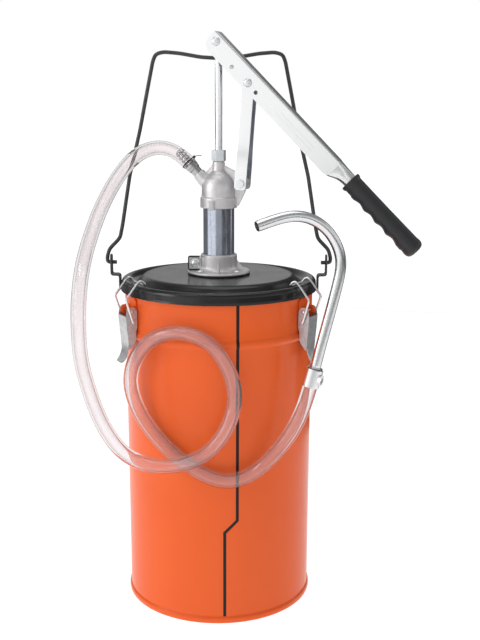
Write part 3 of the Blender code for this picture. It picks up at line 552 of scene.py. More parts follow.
LEVER = mech_at(PIN1) @ Matrix.Rotation(rad(LEVER_DROP), 4, "Y")
FACING = STAND                                        # Z towards the front
BARB = mech_at(BOSS_END) @ Matrix.Rotation(math.atan2(BOSS_DIR[0], BOSS_DIR[1]), 4, "Y")

# ---------------- hose, clamp and nozzle
HOSE_R, HOSE_BORE = 9.5, 6.5
TUBE_R, TUBE_BORE = 6.8, 5.5
SPIGOT_R, SPIGOT_BORE = 6.2, 5.2                      # inside the hose


def along_boss(distance):
    """A point on the outlet's axis, out from the end of its boss."""
    step = distance / math.hypot(*BOSS_DIR)
    return in_mech(BOSS_END[0] + step * BOSS_DIR[0], BOSS_END[1] + step * BOSS_DIR[1])


HOSE_ROUTE = [along_boss(16.4), along_boss(21.0), (-51, 13, 603), (-67, 13, 611), (-84, 9, 612),
              (-101, 0, 606), (-115, -12, 594), (-128, -28, 577), (-139, -46, 557),
              (-149, -66, 534), (-158, -92, 504), (-164, -115, 475), (-167, -133, 441),
              (-167, -145, 402), (-164, -151, 363), (-154, -152, 322), (-141, -150, 284),
              (-122, -149, 252), (-105, -149, 238), (-86, -151, 231), (-68, -152, 229),
              (-50, -153, 231), (-33, -154, 236), (-18, -154, 243), (-3, -153, 255), (8, -151, 270),
              (16.5, -149, 287), (22, -145, 307), (22, -141, 328), (17, -138.5, 346),
              (8, -138, 363), (-2, -138, 377), (-15, -137, 388), (-30, -135, 394), (-45, -131, 396),
              (-60, -125, 394), (-76, -118, 387), (-89, -110, 376), (-101, -102, 360),
              (-109, -95, 341), (-112, -92, 321), (-108, -94, 301), (-99, -99, 281),
              (-85, -108, 263), (-68, -118, 246), (-47, -127, 229.5), (-26, -133, 217),
              (-6, -136.5, 207.5), (14, -137, 203.5), (34, -135, 207.5), (53, -130, 218),
              (73, -125, 237), (93, -120, 262), (107, -116.5, 290), (115.5, -114.5, 318),
              (123.2, -112.5, 347.4)]
hose_points = relax(smooth_route(HOSE_ROUTE, 6.0), 6)
hose = pipe("clear_hose", hose_points, [HOSE_R] * len(hose_points), CLEAR,
            bore=[HOSE_BORE] * len(hose_points))
done(hose, "pail", "clear_hose", "hose")
hose_end = Vector(HOSE_ROUTE[-1])
end_dir = (hose_end - Vector(HOSE_ROUTE[-2])).normalized()

NOZZLE_ROUTE = [tuple(hose_end + end_dir * 0.3), (130, -110.5, 376), (138, -108, 407),
                (145, -106, 435), (151.5, -104, 463), (153.5, -103.4, 478), (151, -104.1, 491),
                (142, -106.8, 510), (128, -111, 525.5), (109, -116.7, 536), (90, -122.9, 538),
                (72, -129.6, 534.5), (48, -139.8, 527.0)]
nozzle_points = relax(smooth_route(NOZZLE_ROUTE, 4.0), 14)
spigot = [hose_end - end_dir * d for d in (26.0, 25.0, 18.0, 10.0, 2.0)]
nozzle_radii = [5.6] + [SPIGOT_R] * 4 + [TUBE_R] * len(nozzle_points)
nozzle_radii[-1] = TUBE_R - 0.3
nozzle_bores = [5.0] + [SPIGOT_BORE] * 4 + [TUBE_BORE] * len(nozzle_points)
nozzle_bores[-1] = TUBE_BORE + 0.3
nozzle = pipe("nozzle_pipe", spigot + nozzle_points, nozzle_radii, NOZZLE_STEEL, bore=nozzle_bores)
done(nozzle, "pail", "zinc_plate", "nozzle_tube")

clamp_mid = hose_end - end_dir * 14.0
clamp_frame = axis_frame(clamp_mid, end_dir)
band = lathe("clamp_band", fillet([(11.0, 11.6), (11.0, -11.6), (9.75, -11.6), (9.75, 11.6)], 0.5,
                                  3, closed=True), CLAMP, 64)
ear = plate("clamp_ear", [[(x, 1.6 * z) for x, z in circle(0.0, 0.0, radius)]
                          for radius in (4.6, 2.7)], 4.4,
            matrix=Matrix.Translation((0.0121, 0.0, 0.0)) @ TURN_EDGE)
combine(band, ear, "UNION")
soften(band, 0.2)
facing_out = clamp_frame.to_3x3().inverted() @ Vector((0.80, -0.60, 0.0))
band.data.transform(Matrix.Rotation(math.atan2(facing_out.y, facing_out.x), 4, "Z"))
band.matrix_world = clamp_frame
done(band, "pail", "galvanised", "nozzle_clamp")

# ---------------- pail
PAIL_R = 125.0
WALL = [(127.35, 6.2), (126.4, 8.2), (125.0, 9.4), (125.0, 371.6), (126.3, 373.8), (127.1, 376.2),
        (127.1, 378.6), (126.3, 381.0), (125.0, 383.2), (125.0, 432.8), (126.4, 433.4),
        (127.8, 434.6), (128.3, 436.6), (128.0, 438.6), (126.6, 439.6), (124.6, 439.6)]
wall_outer = fillet([(123.8, 0.0), (126.2, 0.0), (127.35, 1.6)] + WALL, 1.2, 3)
wall_inner = fillet([(124.0, 438.8), (124.0, 382.6), (125.9, 378.8), (125.9, 376.0), (124.0, 372.2),
                     (124.0, 9.0), (123.4, 7.6), (123.4, 0.6)], 1.2, 3)
pail = settle(lathe("pail_wall", wall_outer + wall_inner, ORANGE, 160), 40.0)
done(pail, "pail", "orange_paint", "pail_shell")


def wall_radius(z):
    """Outside radius of the pail wall at a height."""
    for (r0, z0), (r1, z1) in zip(WALL, WALL[1:]):
        if z0 <= z <= z1:
            return r0 + (r1 - r0) * (z - z0) / max(z1 - z0, 1e-6)
    return WALL[0][0]


def ribbon(name, path, width, thick, mat):
    """A flat band laid on the pail wall along (azimuth, height) points."""
    flat = [Vector((rad(a) * PAIL_R, z)) for a, z in path]
    rings = []
    for i in range(len(flat)):
        normal, reach = side_normal(flat, i)
        edge = normal * 0.5 * width * reach
        ring = []
        for lift, sign in ((0.02, 1), (thick, 1), (thick, -1), (0.02, -1)):
            spot = flat[i] + edge * sign
            radius = wall_radius(spot.y) + lift
            angle = spot.x / PAIL_R
            ring.append((radius * math.cos(angle), radius * math.sin(angle), spot.y))
        rings.append(ring)
    return settle(skin(name, rings, mat), 30.0)


def run(azimuth, high, low, step):
    """Points straight down the wall."""
    count = max(1, int(abs(high - low) / step))
    return [(azimuth, high + (low - high) * k / count) for k in range(count + 1)]


# the stripe steps sideways once on its way down, and is finely cut over the bead
STRIPE_SIDE, STRIPE_STEP = -78.1, 7.5                 # degrees
STEP_TOP, STEP_FALL = 144.7, 16.3
stripe_path = (run(STRIPE_SIDE, 429.5, 386.0, 20.0) + run(STRIPE_SIDE, 384.0, 371.0, 1.0)
               + run(STRIPE_SIDE, 366.0, STEP_TOP, 20.0)
               + [(STRIPE_SIDE - STRIPE_STEP * k / 8.0, STEP_TOP - STEP_FALL * k / 8.0)
                  for k in range(1, 8)]
               + run(STRIPE_SIDE - STRIPE_STEP, STEP_TOP - STEP_FALL, 9.6, 20.0))
done(ribbon("pail_stripe", stripe_path, 3.9, 0.16, STRIPE), "pail", "black_paint")
seam_path = run(101.0, 368.0, 11.0, 20.0)
done(ribbon("pail_seam", seam_path, 4.2, 0.45, ORANGE), "pail", "orange_paint")

# ---------------- lid
lid_path = [
    (21.3, 447.6), (94.5, 447.6), (98.6, 446.9), (101.8, 444.8), (104.2, 441.4),
    (107.0, 438.2), (110.4, 436.7), (113.8, 436.9), (116.8, 438.6), (119.8, 441.6),
    (123.0, 443.2), (126.0, 443.0), (128.4, 441.3), (129.6, 438.4), (129.9, 431.4),
    (130.5, 428.4)]
lid_smooth = fillet(lid_path, 2.0, 4)
lid = settle(lathe("lid_pan", strip(lid_smooth, 1.2, 0.0), BLACK, 160), 50.0)
done(lid, "pail", "black_paint", "lid", "lid_skirt")

# ---------------- pump foot
BARREL_R, BARREL_BORE = 20.5, 18.0
flange_profile = fillet([
    (23.4, 473.9), (24.2, 472.8), (24.5, 456.8), (26.0, 454.0), (28.5, 452.8), (40.6, 452.4),
    (41.7, 451.4), (41.7, 449.2), (20.9, 449.2), (20.9, 473.9)], 0.8, 3, closed=True)
flange = lathe("flange_casting", flange_profile, CAST, 96)
SCREW_CIRCLE = 34.0
SCREW_SPOTS = [(SCREW_CIRCLE * math.cos(rad(a)), SCREW_CIRCLE * math.sin(rad(a)))
               for a in (45.0, 135.0, 225.0, 315.0)]
for sx, sy in SCREW_SPOTS:
    combine(flange, rod("seat", (sx, sy, 450.0), (sx, sy, 452.95), 5.0, sides=32), "UNION")
melt(flange, 0.55, 3)
for angle, top, wide in ((0.0, 465.0, 1.8), (90.0, 469.0, 3.0), (270.0, 469.0, 3.0)):
    fin = skin("fin", [
        [(22.0, -wide - 0.6, 451.0), (34.0, -1.1, 451.0), (34.0, 1.1, 451.0),
         (22.0, wide + 0.6, 451.0)],
        [(22.0, -wide, 453.6), (33.2, -0.8, 453.6), (33.2, 0.8, 453.6), (22.0, wide, 453.6)],
        [(22.0, -0.7, top), (24.9, -0.4, top), (24.9, 0.4, top), (22.0, 0.7, top)]],
               matrix=Matrix.Rotation(rad(angle), 4, "Z"))
    combine(flange, fin, "UNION")
combine(flange, rod("bore", (0, 0, 440.0), (0, 0, 480.0), 20.75, sides=96), "DIFFERENCE")
settle(flange, 45.0)
done(flange, "pail", "cast_aluminium", "base_flange")


def cross_head(name, radius, rise, mat, slot_only=False):
    """A pan-head screw along Z from 0, with a cross or a plain slot."""
    head = lathe(name, fillet([(0.0, rise), (radius * 0.62, rise * 0.93), (radius, rise * 0.42),
                               (radius, 0.0), (0.0, 0.0)], radius * 0.2, 4), mat, 48, closed=False)
    arms = [0.0] if slot_only else [0.0, 90.0]
    reach = radius * (1.2 if slot_only else 0.55)
    for angle in arms:
        slot = block("slot", (-reach, -radius * 0.13, rise * 0.45),
                     (reach, radius * 0.13, rise * 1.5),
                     matrix=Matrix.Rotation(rad(angle), 4, "Z"))
        combine(head, slot, "DIFFERENCE")
    return settle(head, 35.0)


for i, (sx, sy) in enumerate(SCREW_SPOTS):
    screw = cross_head("pan_screw_%d" % (i + 1), 3.6, 2.5, BRIGHT)
    screw.matrix_world = (Matrix.Translation((sx * MM, sy * MM, 453.0 * MM))
                          @ Matrix.Rotation(rad(20.0 + 37.0 * i), 4, "Z"))
    done(screw, "pail", "bright_zinc", "flange_screw_%d" % (i + 1))

VENT_X, VENT_FRONT, VENT_Z = -31.4, -9.2, 462.2
vent = block("vent_housing", (-39.2, VENT_FRONT, 454.4), (-22.9, 7.0, 470.1), CLAMP)
soften(vent, 0.9, 3)
done(vent, "pail", "cast_aluminium", "vent_block")
band_path = fillet([(-25.4, 470.9), (-40.1, 470.9), (-40.1, 453.6), (-25.4, 453.6)], 1.8, 5)
vent_band = plate("vent_strap", [strip(band_path, 1.3)], 5.4, RUBBER, centre=-6.8)
soften(vent_band, 0.35)
done(vent_band, "pail", "black_rubber", "vent_band")
vent_washer = lathe("vent_washer", fillet([(6.0, 0.9), (6.0, 0.0), (3.0, 0.0), (3.0, 0.9)], 0.25, 2,
                                          closed=True), STEEL, 48,
                    Matrix.Translation(Vector((VENT_X, VENT_FRONT, VENT_Z)) * MM) @ FACING)
done(settle(vent_washer), "pail", "bright_zinc")
vent_screw = cross_head("vent_bolt", 4.4, 2.2, BRIGHT, True)
vent_screw.matrix_world = (Matrix.Translation(Vector((VENT_X, VENT_FRONT - 0.7, VENT_Z)) * MM)
                           @ FACING @ Matrix.Rotation(rad(35.0), 4, "Z"))
done(vent_screw, "pail", "bright_zinc", "vent_screw")

# ---------------- bail and its brackets
BRACKET_X = 143.0
bracket_path = fillet([(132.0, 426.0), (132.0, 445.6), (BRACKET_X, 445.6), (BRACKET_X, 472.5)], 3.4,
                      5)
for name, side in (("left", -1.0), ("right", 1.0)):
    outline = [(side * x, z) for x, z in strip(bracket_path, 2.0)]
    bracket = plate("bail_strap_" + name, [outline], 16.0, DARK)
    combine(bracket, rod("eye", (side * 136.0, 0, BAIL_Z), (side * 152.0, 0, BAIL_Z), 3.1,
                         sides=32), "DIFFERENCE")
    round_top = fillet([(-8.0, 420.0), (8.0, 420.0), (8.0, 472.9), (-8.0, 472.9)], 7.0, 8,
                       closed=True)
    keeper = plate("keeper", [round_top], 60.0,
                   matrix=Matrix.Translation((side * 0.137, 0.0, 0.0)) @ TURN_EDGE)
    combine(bracket, keeper, "INTERSECT")
    soften(bracket, 0.4)
    done(bracket, "pail", "dark_steel", "bail_bracket_" + name)

BAIL = Matrix.Translation((0.0, 0.0, BAIL_Z * MM)) @ Matrix.Rotation(rad(-8.0), 4, "X")
half_bail = [
    (136.0, 0.0), (147.9, 0.0), (148.8, 5.5), (146.0, 17.0), (131.4, 32.0), (127.8, 50.0),
    (118.0, 113.3), (104.0, 173.0), (94.5, 222.0), (86.6, 262.0), (83.0, 270.5), (73.0, 273.5),
    (52.0, 271.8), (24.0, 267.0), (0.0, 265.6)]
bail_path = [(x, 0.0, z) for x, z in half_bail + [(-x, z) for x, z in half_bail[-2::-1]]]
bail = wire("bail_wire", fillet(bail_path, 5.0, 5), 2.5, DARK, BAIL, 24)
done(bail, "bail", "dark_steel", "carry_bail")

# ---------------- barrel and pump head
barrel = settle(lathe("barrel_tube", [(BARREL_R, 546.2), (BARREL_R, 12.0), (BARREL_BORE, 12.0),
                                      (BARREL_BORE, 546.2)], ZINC, 96))
done(barrel, "pail", "zinc_plate", "barrel")

head = lathe("head_casting", fillet([
    (0.0, 594.6), (7.9, 594.6), (8.1, 588.0), (8.8, 583.0), (11.6, 579.4), (15.4, 576.8),
    (18.8, 572.4), (21.2, 566.2), (22.3, 558.0), (22.5, 549.4), (24.0, 548.6), (24.3, 547.4),
    (24.3, 535.4), (23.6, 534.6), (0.0, 534.6)], 1.2, 3), CAST, 96, closed=False)
boss_low = (BOSS_END[0] - 22.0 * BOSS_DIR[0], 0.0, BOSS_END[1] - 22.0 * BOSS_DIR[1])
boss_high = (BOSS_END[0], 0.0, BOSS_END[1])
combine(head, rod("boss", boss_low, boss_high, 9.9, None, MECH, 48, 8.2), "UNION")
combine(head, plate("web", [[(-21.5, 577.0), (-8.0, 590.6), (8.0, 589.6), (24.0, 581.6),
                             (31.0, 573.0), (38.2, 563.5), (36.0, 556.0), (27.0, 537.6),
                             (10.0, 537.0), (-16.0, 560.0)]], 3.6, matrix=MECH), "UNION")
combine(head, rod("lug", (PIN3[0], -9.0, PIN3[1]), (PIN3[0], 9.0, PIN3[1]), 7.8, None, MECH, 40),
        "UNION")
melt(head, 0.5, 4)
key = soften(block("key", (-12.6, -27.4, 533.6), (-6.0, -19.0, 545.0)), 0.4)
combine(head, key, "UNION")
combine(head, lathe("cavity", [
    (0.0, 585.0), (5.5, 585.0), (5.5, 574.0), (11.0, 572.0), (15.5, 567.0), (18.0, 558.0),
    (18.0, 546.6), (20.7, 546.6), (20.7, 530.0), (0.0, 530.0)], closed=False), "DIFFERENCE")
combine(head, rod("neck_bore", (0, 0, 600.0), (0, 0, 584.0), 6.5, sides=48), "DIFFERENCE")
boss_in = (BOSS_END[0] - 13.0 * BOSS_DIR[0], 0.0, BOSS_END[1] - 13.0 * BOSS_DIR[1])
boss_out = (BOSS_END[0] + 6.0 * BOSS_DIR[0], 0.0, BOSS_END[1] + 6.0 * BOSS_DIR[1])
combine(head, rod("boss_bore", boss_in, boss_out, 5.55, None, MECH, 40), "DIFFERENCE")
combine(head, rod("bolt_hole", (PIN3[0], -12.0, PIN3[1]), (PIN3[0], 12.0, PIN3[1]), 3.2, None, MECH,
                  32), "DIFFERENCE")
settle(head, 45.0)
done(head, "pail", "cast_aluminium", "pump_head")

gland = hexagon("gland_hex", 9.65, 594.9, 609.2, 1.5, NUT_ZINC, turn=-77.0, both=True)
combine(gland, rod("gland_bore", (0, 0, 590.0), (0, 0, 612.0), 5.0, sides=48), "DIFFERENCE")
settle(gland)
done(gland, "pail", "cast_aluminium", "gland_nut")

teeth = []
for k in range(4):
    top = 39.0 - 5.2 * k
    teeth += [(4.9, top), (6.42, top - 3.4), (6.42, top - 3.9), (5.1, top - 4.4)]
spout = [(4.6, 40.0)] + teeth + [(5.6, 16.9), (5.8, 16.2), (8.2, 15.9), (8.6, 15.4), (8.6, 11.6),
                                 (8.0, 11.2), (8.0, 8.0), (6.9, 7.0), (6.7, 0.3), (5.4, 0.3),
                                 (5.4, -11.8), (3.4, -11.8), (3.4, 40.0)]
barb = settle(lathe("barbed_spout", spout, BARB_STEEL, 64, BARB), 30.0)
done(barb, "pail", "cast_aluminium", "outlet_barb")
tie = lathe("tie_loop", fillet([(10.3, 20.6), (10.3, 19.0), (9.55, 19.0), (9.55, 20.6)], 0.4, 3,
                               closed=True), RUBBER, 64)
combine(tie, block("tie_lock", (9.6, -1.6, 18.2), (12.0, 1.6, 21.4)), "UNION")
tail_path = fillet([(10.2, 19.8), (12.6, 19.5), (16.0, 17.4), (19.4, 14.2)], 2.5, 4)
tail = plate("tie_tail", [strip(tail_path, 0.9)], 1.8)
combine(tie, tail, "UNION")
soften(tie, 0.25)
tie.matrix_world = BARB
done(tie, "pail", "black_rubber", "hose_tie")

# ---------------- rod
rod_frame = mech_at(PIN1)
rod_low = 97.0 - PIN1[1]
piston_rod = lathe("rod_bar", fillet([(0.0, -3.0), (4.75, -3.0), (4.75, 126.3 - PIN1[1]),
                                      (7.2, 126.3 - PIN1[1]), (7.2, 122.6 - PIN1[1]),
                                      (3.9, 122.6 - PIN1[1]), (3.9, rod_low), (0.0, rod_low)], 0.3,
                                     2), STEEL, 48, closed=False)
combine(piston_rod, rod("eye", (0, -9.6, 0), (0, 9.6, 0), 7.4, sides=48), "UNION")
combine(piston_rod, rod("eye_hole", (0, -12, 0), (0, 12, 0), 3.25, sides=32), "DIFFERENCE")
soften(piston_rod, 0.3)
piston_rod.matrix_world = rod_frame
done(piston_rod, "rod", "bright_zinc", "piston_rod")

# ---------------- lever
lever_outline = fillet([
    (-9.4, 9.9), (-10.8, 4.0), (-10.8, -3.0), (-9.6, -8.0), (-6.5, -12.0), (-1.0, -14.8),
    (5.0, -15.4), (213.0, -15.4), (219.0, -13.4), (219.0, 9.9)], 5.0, 5, closed=True)
lever = plate("lever_channel", [lever_outline], 23.6, BRIGHT)


def channel_bar(name, half, top, radius):
    """A bar along the lever whose two upper edges are rounded, as folded sheet is."""
    arch = fillet([(half, -40.0), (half, top), (-half, top), (-half, -40.0)], radius, 7)
    bar = plate(name, [arch], 260.0)
    bar.data.transform(Matrix.Translation((0.098, 0.0, 0.0)) @ TURN_EDGE)
    return bar


combine(lever, channel_bar("folds", 11.8, 9.9, 3.0), "INTERSECT")
combine(lever, channel_bar("trough", 10.0, 8.1, 1.6), "DIFFERENCE")


def neck_ring(a, half, top, bottom, power, sides=48):
    """One rounded-box ring across the lever at a distance along it."""
    ring = []
    mid, tall = 0.5 * (top + bottom), 0.5 * (top - bottom)
    for k in range(sides):
        c, s = math.cos(TURN * k / sides), math.sin(TURN * k / sides)
        ring.append((a, half * math.copysign(abs(c) ** (2.0 / power), c),
                     mid + tall * math.copysign(abs(s) ** (2.0 / power), s)))
    return ring


NECK_ROWS = ((205.0, 11.75, 9.85, -15.3, 9.0), (211.0, 11.8, 9.9, -15.4, 8.0),
             (216.0, 11.8, 9.9, -15.2, 6.5), (220.0, 11.6, 9.9, -14.2, 5.0),
             (223.5, 11.2, 9.9, -12.6, 4.0), (227.0, 10.7, 9.9, -11.0, 3.3),
             (230.5, 10.2, 9.9, -9.8, 2.8), (235.0, 9.9, 9.9, -9.0, 2.4),
             (243.2, 9.6, 9.9, -8.6, 2.0))
neck = skin("neck", [neck_ring(*row) for row in NECK_ROWS])
combine(lever, neck, "UNION")
combine(lever, rod("tang", (236.0, 0.0, 0.68), (338.0, 0.0, 0.68), 6.97, sides=44), "UNION")
PIN2_REL = Vector((PIN2[0] - PIN1[0], PIN2[1] - PIN1[1]))
drop = rad(LEVER_DROP)
PIN2_A = PIN2_REL.x * math.cos(drop) - PIN2_REL.y * math.sin(drop)
PIN2_B = PIN2_REL.x * math.sin(drop) + PIN2_REL.y * math.cos(drop)
for a, b, r in ((0.0, 0.0, 3.3), (36.7, -7.6, 2.7), (PIN2_A, PIN2_B, 3.3), (80.9, -7.6, 2.7)):
    combine(lever, rod("hole", (a, -16.0, b), (a, 16.0, b), r, sides=40), "DIFFERENCE")
# two fine grooves along both cheeks
for side in (-1.0, 1.0):
    for low, start in ((-6.6, 117.0), (-1.6, 121.0)):
        groove = plate("groove", [fillet([(start, low - 0.5), (184.0, low - 0.5),
                                          (184.0, low + 0.5), (start, low + 0.5)], 0.45, 4,
                                         closed=True)], 1.5, centre=side * 11.9)
        combine(lever, groove, "DIFFERENCE")
soften(lever, 0.22, 2, 30.0, 30.0)
lever.matrix_world = LEVER
done(lever, "lever", "bright_zinc", "lever_arm")

RIVET_OUT = 12.0                                      # from the lever's middle to its cheek


def rivet(low):
    """Profile of a domed pin head along Z, with its shank down to a height."""
    dome = ((0.0, 2.4), (2.6, 2.15), (4.4, 1.45), (5.5, 0.5), (5.7, 0.1), (5.7, 0.0), (3.0, 0.0))
    return [(r, RIVET_OUT + z) for r, z in dome] + [(3.0, low)]


upper = rivet(0.0)
pin_profile = fillet(upper[:-1] + [(r, -z) for r, z in upper[-2::-1]], 0.5, 3)
rod_pin = settle(lathe("rod_rivet", pin_profile, RIVET, 48, mech_at(PIN1) @ FACING, closed=False))
done(rod_pin, "lever", "bright_zinc", "rod_pin")
for name, flip in (("front", 90.0), ("rear", -90.0)):
    profile = fillet(rivet(10.1) + [(0.0, 10.1)], 0.5, 3)
    stub = settle(lathe("fulcrum_stub_" + name, profile, RIVET, 48,
                        mech_at(PIN2) @ Matrix.Rotation(rad(flip), 4, "X"), closed=False))
    done(stub, "lever", "bright_zinc", "fulcrum_rivet_" + name)

# ---------------- grip
GRIP_ROWS = [(243.0, 13.2), (243.6, 13.6), (245.6, 13.7), (247.2, 13.3), (248.6, 12.3),
             (250.4, 12.0)]
a = 253.0
while a < 354.0:
    GRIP_ROWS.append((a, 12.1 + 0.5 * max(0.0, (a - 300.0) / 54.0)))
    a += 2.0
GRIP_ROWS += [(355.5, 13.0), (358.5, 13.1), (361.0, 12.6), (363.2, 11.3), (364.9, 9.0),
              (365.7, 5.6)]


FINGER_START, FINGER_PITCH, FINGER_DEPTH = 262.0, 20.2, 2.3
GRIP_AXIS = 0.7                                       # above the lever's own line


def grip_ring(a, radius, sides=64):
    """One ring of the grip, hollowed for four fingers on its lower side."""
    phase = (a - FINGER_START) / FINGER_PITCH
    depth = 0.0
    if 0.0 < phase < 4.0:
        depth = FINGER_DEPTH * (0.5 - 0.5 * math.cos(TURN * phase)) ** 0.8
    ring = []
    for k in range(sides):
        c, s = math.cos(TURN * k / sides), math.sin(TURN * k / sides)
        under = max(0.0, -s) ** 1.6
        bulge = 0.9 * under if 258.0 < a < 350.0 else 0.0
        here = radius + bulge - depth * under
        ring.append((a, here * c, GRIP_AXIS + here * s))
    return ring


grip = skin("grip_sleeve", [grip_ring(*row) for row in GRIP_ROWS], RUBBER)
combine(grip, rod("grip_bore", (240.0, 0.0, GRIP_AXIS), (340.0, 0.0, GRIP_AXIS), 7.3, sides=48),
        "DIFFERENCE")
settle(grip, 50.0)
grip.matrix_world = LEVER
done(grip, "lever", "black_rubber", "grip")

# ---------------- links
LINK_VEC = Vector((PIN2[0] - PIN3[0], PIN2[1] - PIN3[1]))
LINK_LEN = LINK_VEC.length
LINK = mech_at(PIN3) @ Matrix.Rotation(math.atan2(LINK_VEC.x, LINK_VEC.y), 4, "Y")
# the rear link takes the darker copy of the same zinc sheet: painted shade
for name, side, sheet in (("front", -1.0, BRIGHT), ("rear", 1.0, SHADED_LINK_ZINC)):
    path = fillet([(8.0, LINK_LEN + 9.0), (8.0, 47.0), (10.8, 29.0), (10.8, -9.0)], 9.0, 6)
    link = plate("strap_" + name, [strip([(side * x, z) for x, z in path], 3.0)], 18.0, sheet)
    link.data.transform(TURN_EDGE)
    face = fillet([(-7.9, -7.8), (7.9, -7.8), (7.9, LINK_LEN + 7.4), (-7.9, LINK_LEN + 7.4)], 5.4,
                  8, closed=True)
    combine(link, plate("stamp", [face], 60.0), "INTERSECT")
    for z in (0.0, LINK_LEN):
        combine(link, rod("hole", (0.0, -20.0, z), (0.0, 20.0, z), 3.25, sides=40), "DIFFERENCE")
    soften(link, 0.4)
    link.matrix_world = LINK
    done(link, "links", "bright_zinc", "link_" + name)
bolt = hexagon("link_hex", 5.7, 12.6, 16.8, 0.9, NUT_ZINC, turn=10.0)
combine(bolt, rod("shank", (0, 0, 13.0), (0, 0, -19.2), 2.9, sides=32), "UNION")
settle(bolt)
bolt.matrix_world = mech_at(PIN3) @ FACING
done(bolt, "links", "bright_zinc", "link_bolt")
nut = hexagon("link_lock_nut", 5.7, 12.6, 17.4, 0.9, NUT_ZINC, turn=25.0)
combine(nut, rod("thread", (0, 0, 10.0), (0, 0, 20.0), 3.1, sides=32), "DIFFERENCE")
settle(nut)
nut.matrix_world = mech_at(PIN3) @ Matrix.Rotation(rad(-90.0), 4, "X")
done(nut, "links", "bright_zinc", "link_nut")

# ---------------- latches
PIN_X, PIN_Z = 133.0, 410.5
HOLE_X, HOLE_Z = 132.0, 395.0
for name, turn in (("left", -150.0), ("right", -30.0), ("back", 90.0)):
    around = Matrix.Rotation(rad(turn), 4, "Z")
    bracket = block("latch_base_" + name, (125.35, -10.5, 384.4), (126.85, 10.5, 426.0), ORANGE)
    ear_outline = fillet([(125.6, 387.0), (128.4, 390.0), (129.6, 400.0), (134.0, 404.6),
                          (137.8, 406.6), (139.3, 410.5), (137.8, 414.6), (133.0, 416.8),
                          (128.0, 416.8), (125.6, 416.0)], 2.2, 4, closed=True)
    for side in (-1.0, 1.0):
        combine(bracket, plate("ear", [ear_outline, circle(PIN_X, PIN_Z, 2.25)], 1.8,
                               centre=side * 9.5), "UNION")
    corner = fillet([(-10.5, 384.4), (10.5, 384.4), (10.5, 426.0), (-10.5, 426.0)], 6.5, 8,
                    closed=True)
    combine(bracket, plate("keeper", [corner], 60.0, matrix=Matrix.Translation((0.130, 0.0, 0.0))
                           @ TURN_EDGE), "INTERSECT")
    soften(bracket, 0.3)
    bracket.matrix_world = around
    done(bracket, "pail", "orange_paint", "latch_bracket_" + name)

    pin = settle(lathe("latch_rivet_" + name, fillet([
        (0.0, 13.7), (1.6, 13.6), (2.5, 13.2), (2.7, 12.7), (2.0, 12.7), (2.0, -12.7), (2.7, -12.7),
        (2.5, -13.2), (1.6, -13.6), (0.0, -13.7)], 0.3, 2), NOZZLE_STEEL, 40,
        around @ Matrix.Translation((PIN_X * MM, 0.0, PIN_Z * MM)) @ FACING, closed=False))
    done(pin, "pail", "bright_zinc", "latch_pin_" + name)

    back_path = fillet([(140.6, 404.0), (139.8, 390.0), (138.3, 375.0), (137.6, 365.0),
                        (138.8, 356.0), (142.2, 348.4), (147.0, 343.2)], 7.0, 5)
    tongue = plate("latch_tongue_" + name, [strip(back_path, 1.5)], 24.6, GALV)
    shape = fillet([(-12.3, 366.0), (-9.5, 362.0), (-9.5, 342.6), (9.5, 342.6), (9.5, 362.0),
                    (12.3, 366.0), (12.3, 420.0), (-12.3, 420.0)], 7.0, 7, closed=True)
    combine(tongue, plate("shaper", [shape], 80.0, matrix=Matrix.Translation((PIN_X * MM, 0.0, 0.0))
                          @ TURN_EDGE), "INTERSECT")
    cheek = fillet([(127.7, 385.0), (126.0, 388.5), (126.0, 411.0), (130.0, 415.8), (135.5, 416.2),
                    (139.4, 413.0), (141.2, 404.0), (140.3, 388.0), (138.6, 374.0), (138.0, 361.0),
                    (136.4, 361.0), (129.4, 369.5), (127.9, 374.0)], 2.0, 4, closed=True)
    for side in (-1.0, 1.0):
        combine(tongue, plate("cheek", [cheek, circle(PIN_X, PIN_Z, 2.3),
                                        circle(HOLE_X, HOLE_Z, 1.75)], 1.5, centre=side * 11.55),
                "UNION")
    soften(tongue, 0.3)
    tongue.matrix_world = around
    done(tongue, "latch_" + name, "galvanised", "latch_lever_" + name)

    half_wire = [(0.0, 9.8, 0.0), (0.0, 15.4, 0.0), (2.2, 15.8, 4.0), (11.2, 17.5, 32.6),
                 (-5.2, 17.5, 52.4), (-9.2, 17.5, 54.8), (-12.6, 17.5, 53.2), (-16.0, 17.5, 48.8),
                 (-16.0, 14.0, 48.6)]
    other = [(x, -y, z) for x, y, z in half_wire]
    loop = wire("latch_loop_" + name, fillet(half_wire + other[::-1], 2.4, 4), 1.5, WIRE,
                around @ Matrix.Translation((HOLE_X * MM, 0.0, HOLE_Z * MM)), 16)
    done(loop, "wire_" + name, "galvanised", "latch_wire_" + name)

# ---------------- CAD nodes that keep their own shape
KEPT = {
    "pail_base": ORANGE, "lid_gasket": SEAL, "flange_gasket": SEAL, "gland_packing": SEAL,
    "piston_ring": SEAL, "foot_valve_body": BRASS, "piston": BRASS, "foot_valve_ball": STEEL,
    "strainer": STEEL, "piston_nut": STEEL, "link_sleeve": ZINC, "link_pin": ZINC}
for node_name, mat in KEPT.items():
    NODES[node_name].data.materials.clear()
    NODES[node_name].data.materials.append(mat)

# ---------------- studio
floor = block("floor", (-40000.0, -40000.0, -20.0), (40000.0, 40000.0, -0.2))
floor.data.materials.append(surface("pale_floor", (0.36, 0.36, 0.36), (0.35, 0.35, 0.35), 0.0, 0.75,
                                    0.05, grain=3.0, bump=0.05, Emission_Color=(1.0, 1.0, 1.0, 1.0),
                                    Emission_Strength=0.93))

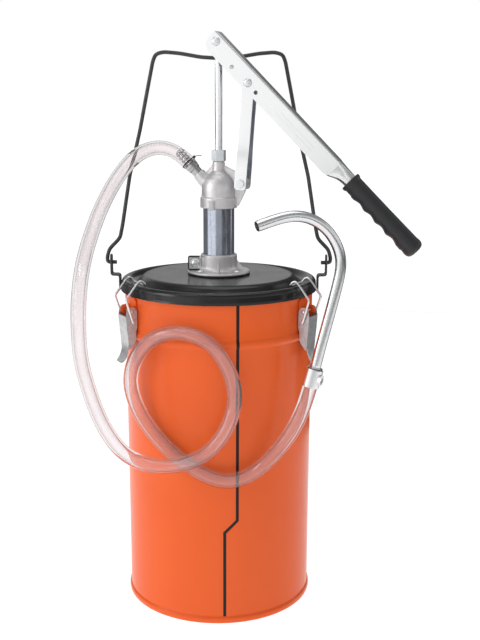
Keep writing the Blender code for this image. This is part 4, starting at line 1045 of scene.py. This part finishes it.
world = bpy.data.worlds.new("studio")
bpy.context.scene.world = world
world.use_nodes = True
tree = world.node_tree
back = tree.nodes["Background"]
coord = tree.nodes.new("ShaderNodeTexCoord")
parts = tree.nodes.new("ShaderNodeSeparateXYZ")
ramp = tree.nodes.new("ShaderNodeValToRGB")
for stop, place, tone in zip(ramp.color_ramp.elements, (0.12, 0.55), (1.0, 0.30)):
    stop.position = place
    stop.color = (tone, tone, tone, 1.0)
tree.links.new(coord.outputs["Generated"], parts.inputs["Vector"])
tree.links.new(parts.outputs["Z"], ramp.inputs["Fac"])
tree.links.new(ramp.outputs["Color"], back.inputs["Color"])
back.inputs["Strength"].default_value = 1.0


def softbox(name, place, aim, width, height, power):
    """A rectangular lamp, in metres and watts, that points at a spot."""
    data = bpy.data.lights.new(name, "AREA")
    data.shape = "RECTANGLE"
    data.size, data.size_y = width, height
    data.energy = power
    lamp = bpy.data.objects.new(name, data)
    bpy.context.scene.collection.objects.link(lamp)
    lamp.location = place
    lamp.rotation_euler = (Vector(aim) - Vector(place)).to_track_quat("-Z", "Y").to_euler()


FLAG_R = 2000.0


def flag(name, start, end, height, tone, radius=FLAG_R):
    """A low curved card round the object, between two azimuths, that shades reflections.

    A card nearer than the others is seen in reflections only, and casts no shadow.
    """
    outer = []
    for k in range(13):
        angle = rad(start + (end - start) * k / 12.0)
        outer.append((radius * math.cos(angle), radius * math.sin(angle)))
    rings = [[(x, y, 0.0), (x, y, height), (x * 1.01, y * 1.01, height), (x * 1.01, y * 1.01, 0.0)]
             for x, y in outer]
    card = skin(name, rings, surface(name + "_card", (tone,) * 3, (tone * 0.9,) * 3, 0.0, 0.9,
                                     0.02))
    card.visible_camera = False
    card.visible_transmission = False
    if radius < FLAG_R:
        card.visible_diffuse = False
        card.visible_shadow = False


flag("flag_dark", -66.0, 0.0, 520.0, 0.03)
flag("flag_mid", -112.0, -66.0, 480.0, 0.34)
flag("flag_back_right", 0.0, 80.0, 740.0, 0.05)
flag("flag_back_left", 80.0, 182.0, 740.0, 0.20)
flag("flag_near_right", 14.0, 88.0, 300.0, 0.03, 750.0)
flag("flag_web", 42.0, 80.0, 1700.0, 0.10, 1900.0)
softbox("key", (-2.0, -0.85, 1.15), (0.0, 0.0, 0.45), 1.0, 1.1, 12.0)
softbox("fill", (1.7, 0.5, 0.9), (0.0, 0.0, 0.4), 0.5, 1.4, 1.5)
softbox("strip", (-1.0, -1.1, 2.0), (0.0, 0.0, 0.45), 0.9, 0.2, 3.5)
softbox("top", (0.1, 0.1, 2.3), (0.0, 0.0, 0.3), 1.6, 1.6, 12.0)
bpy.context.scene.view_settings.view_transform = "Standard"
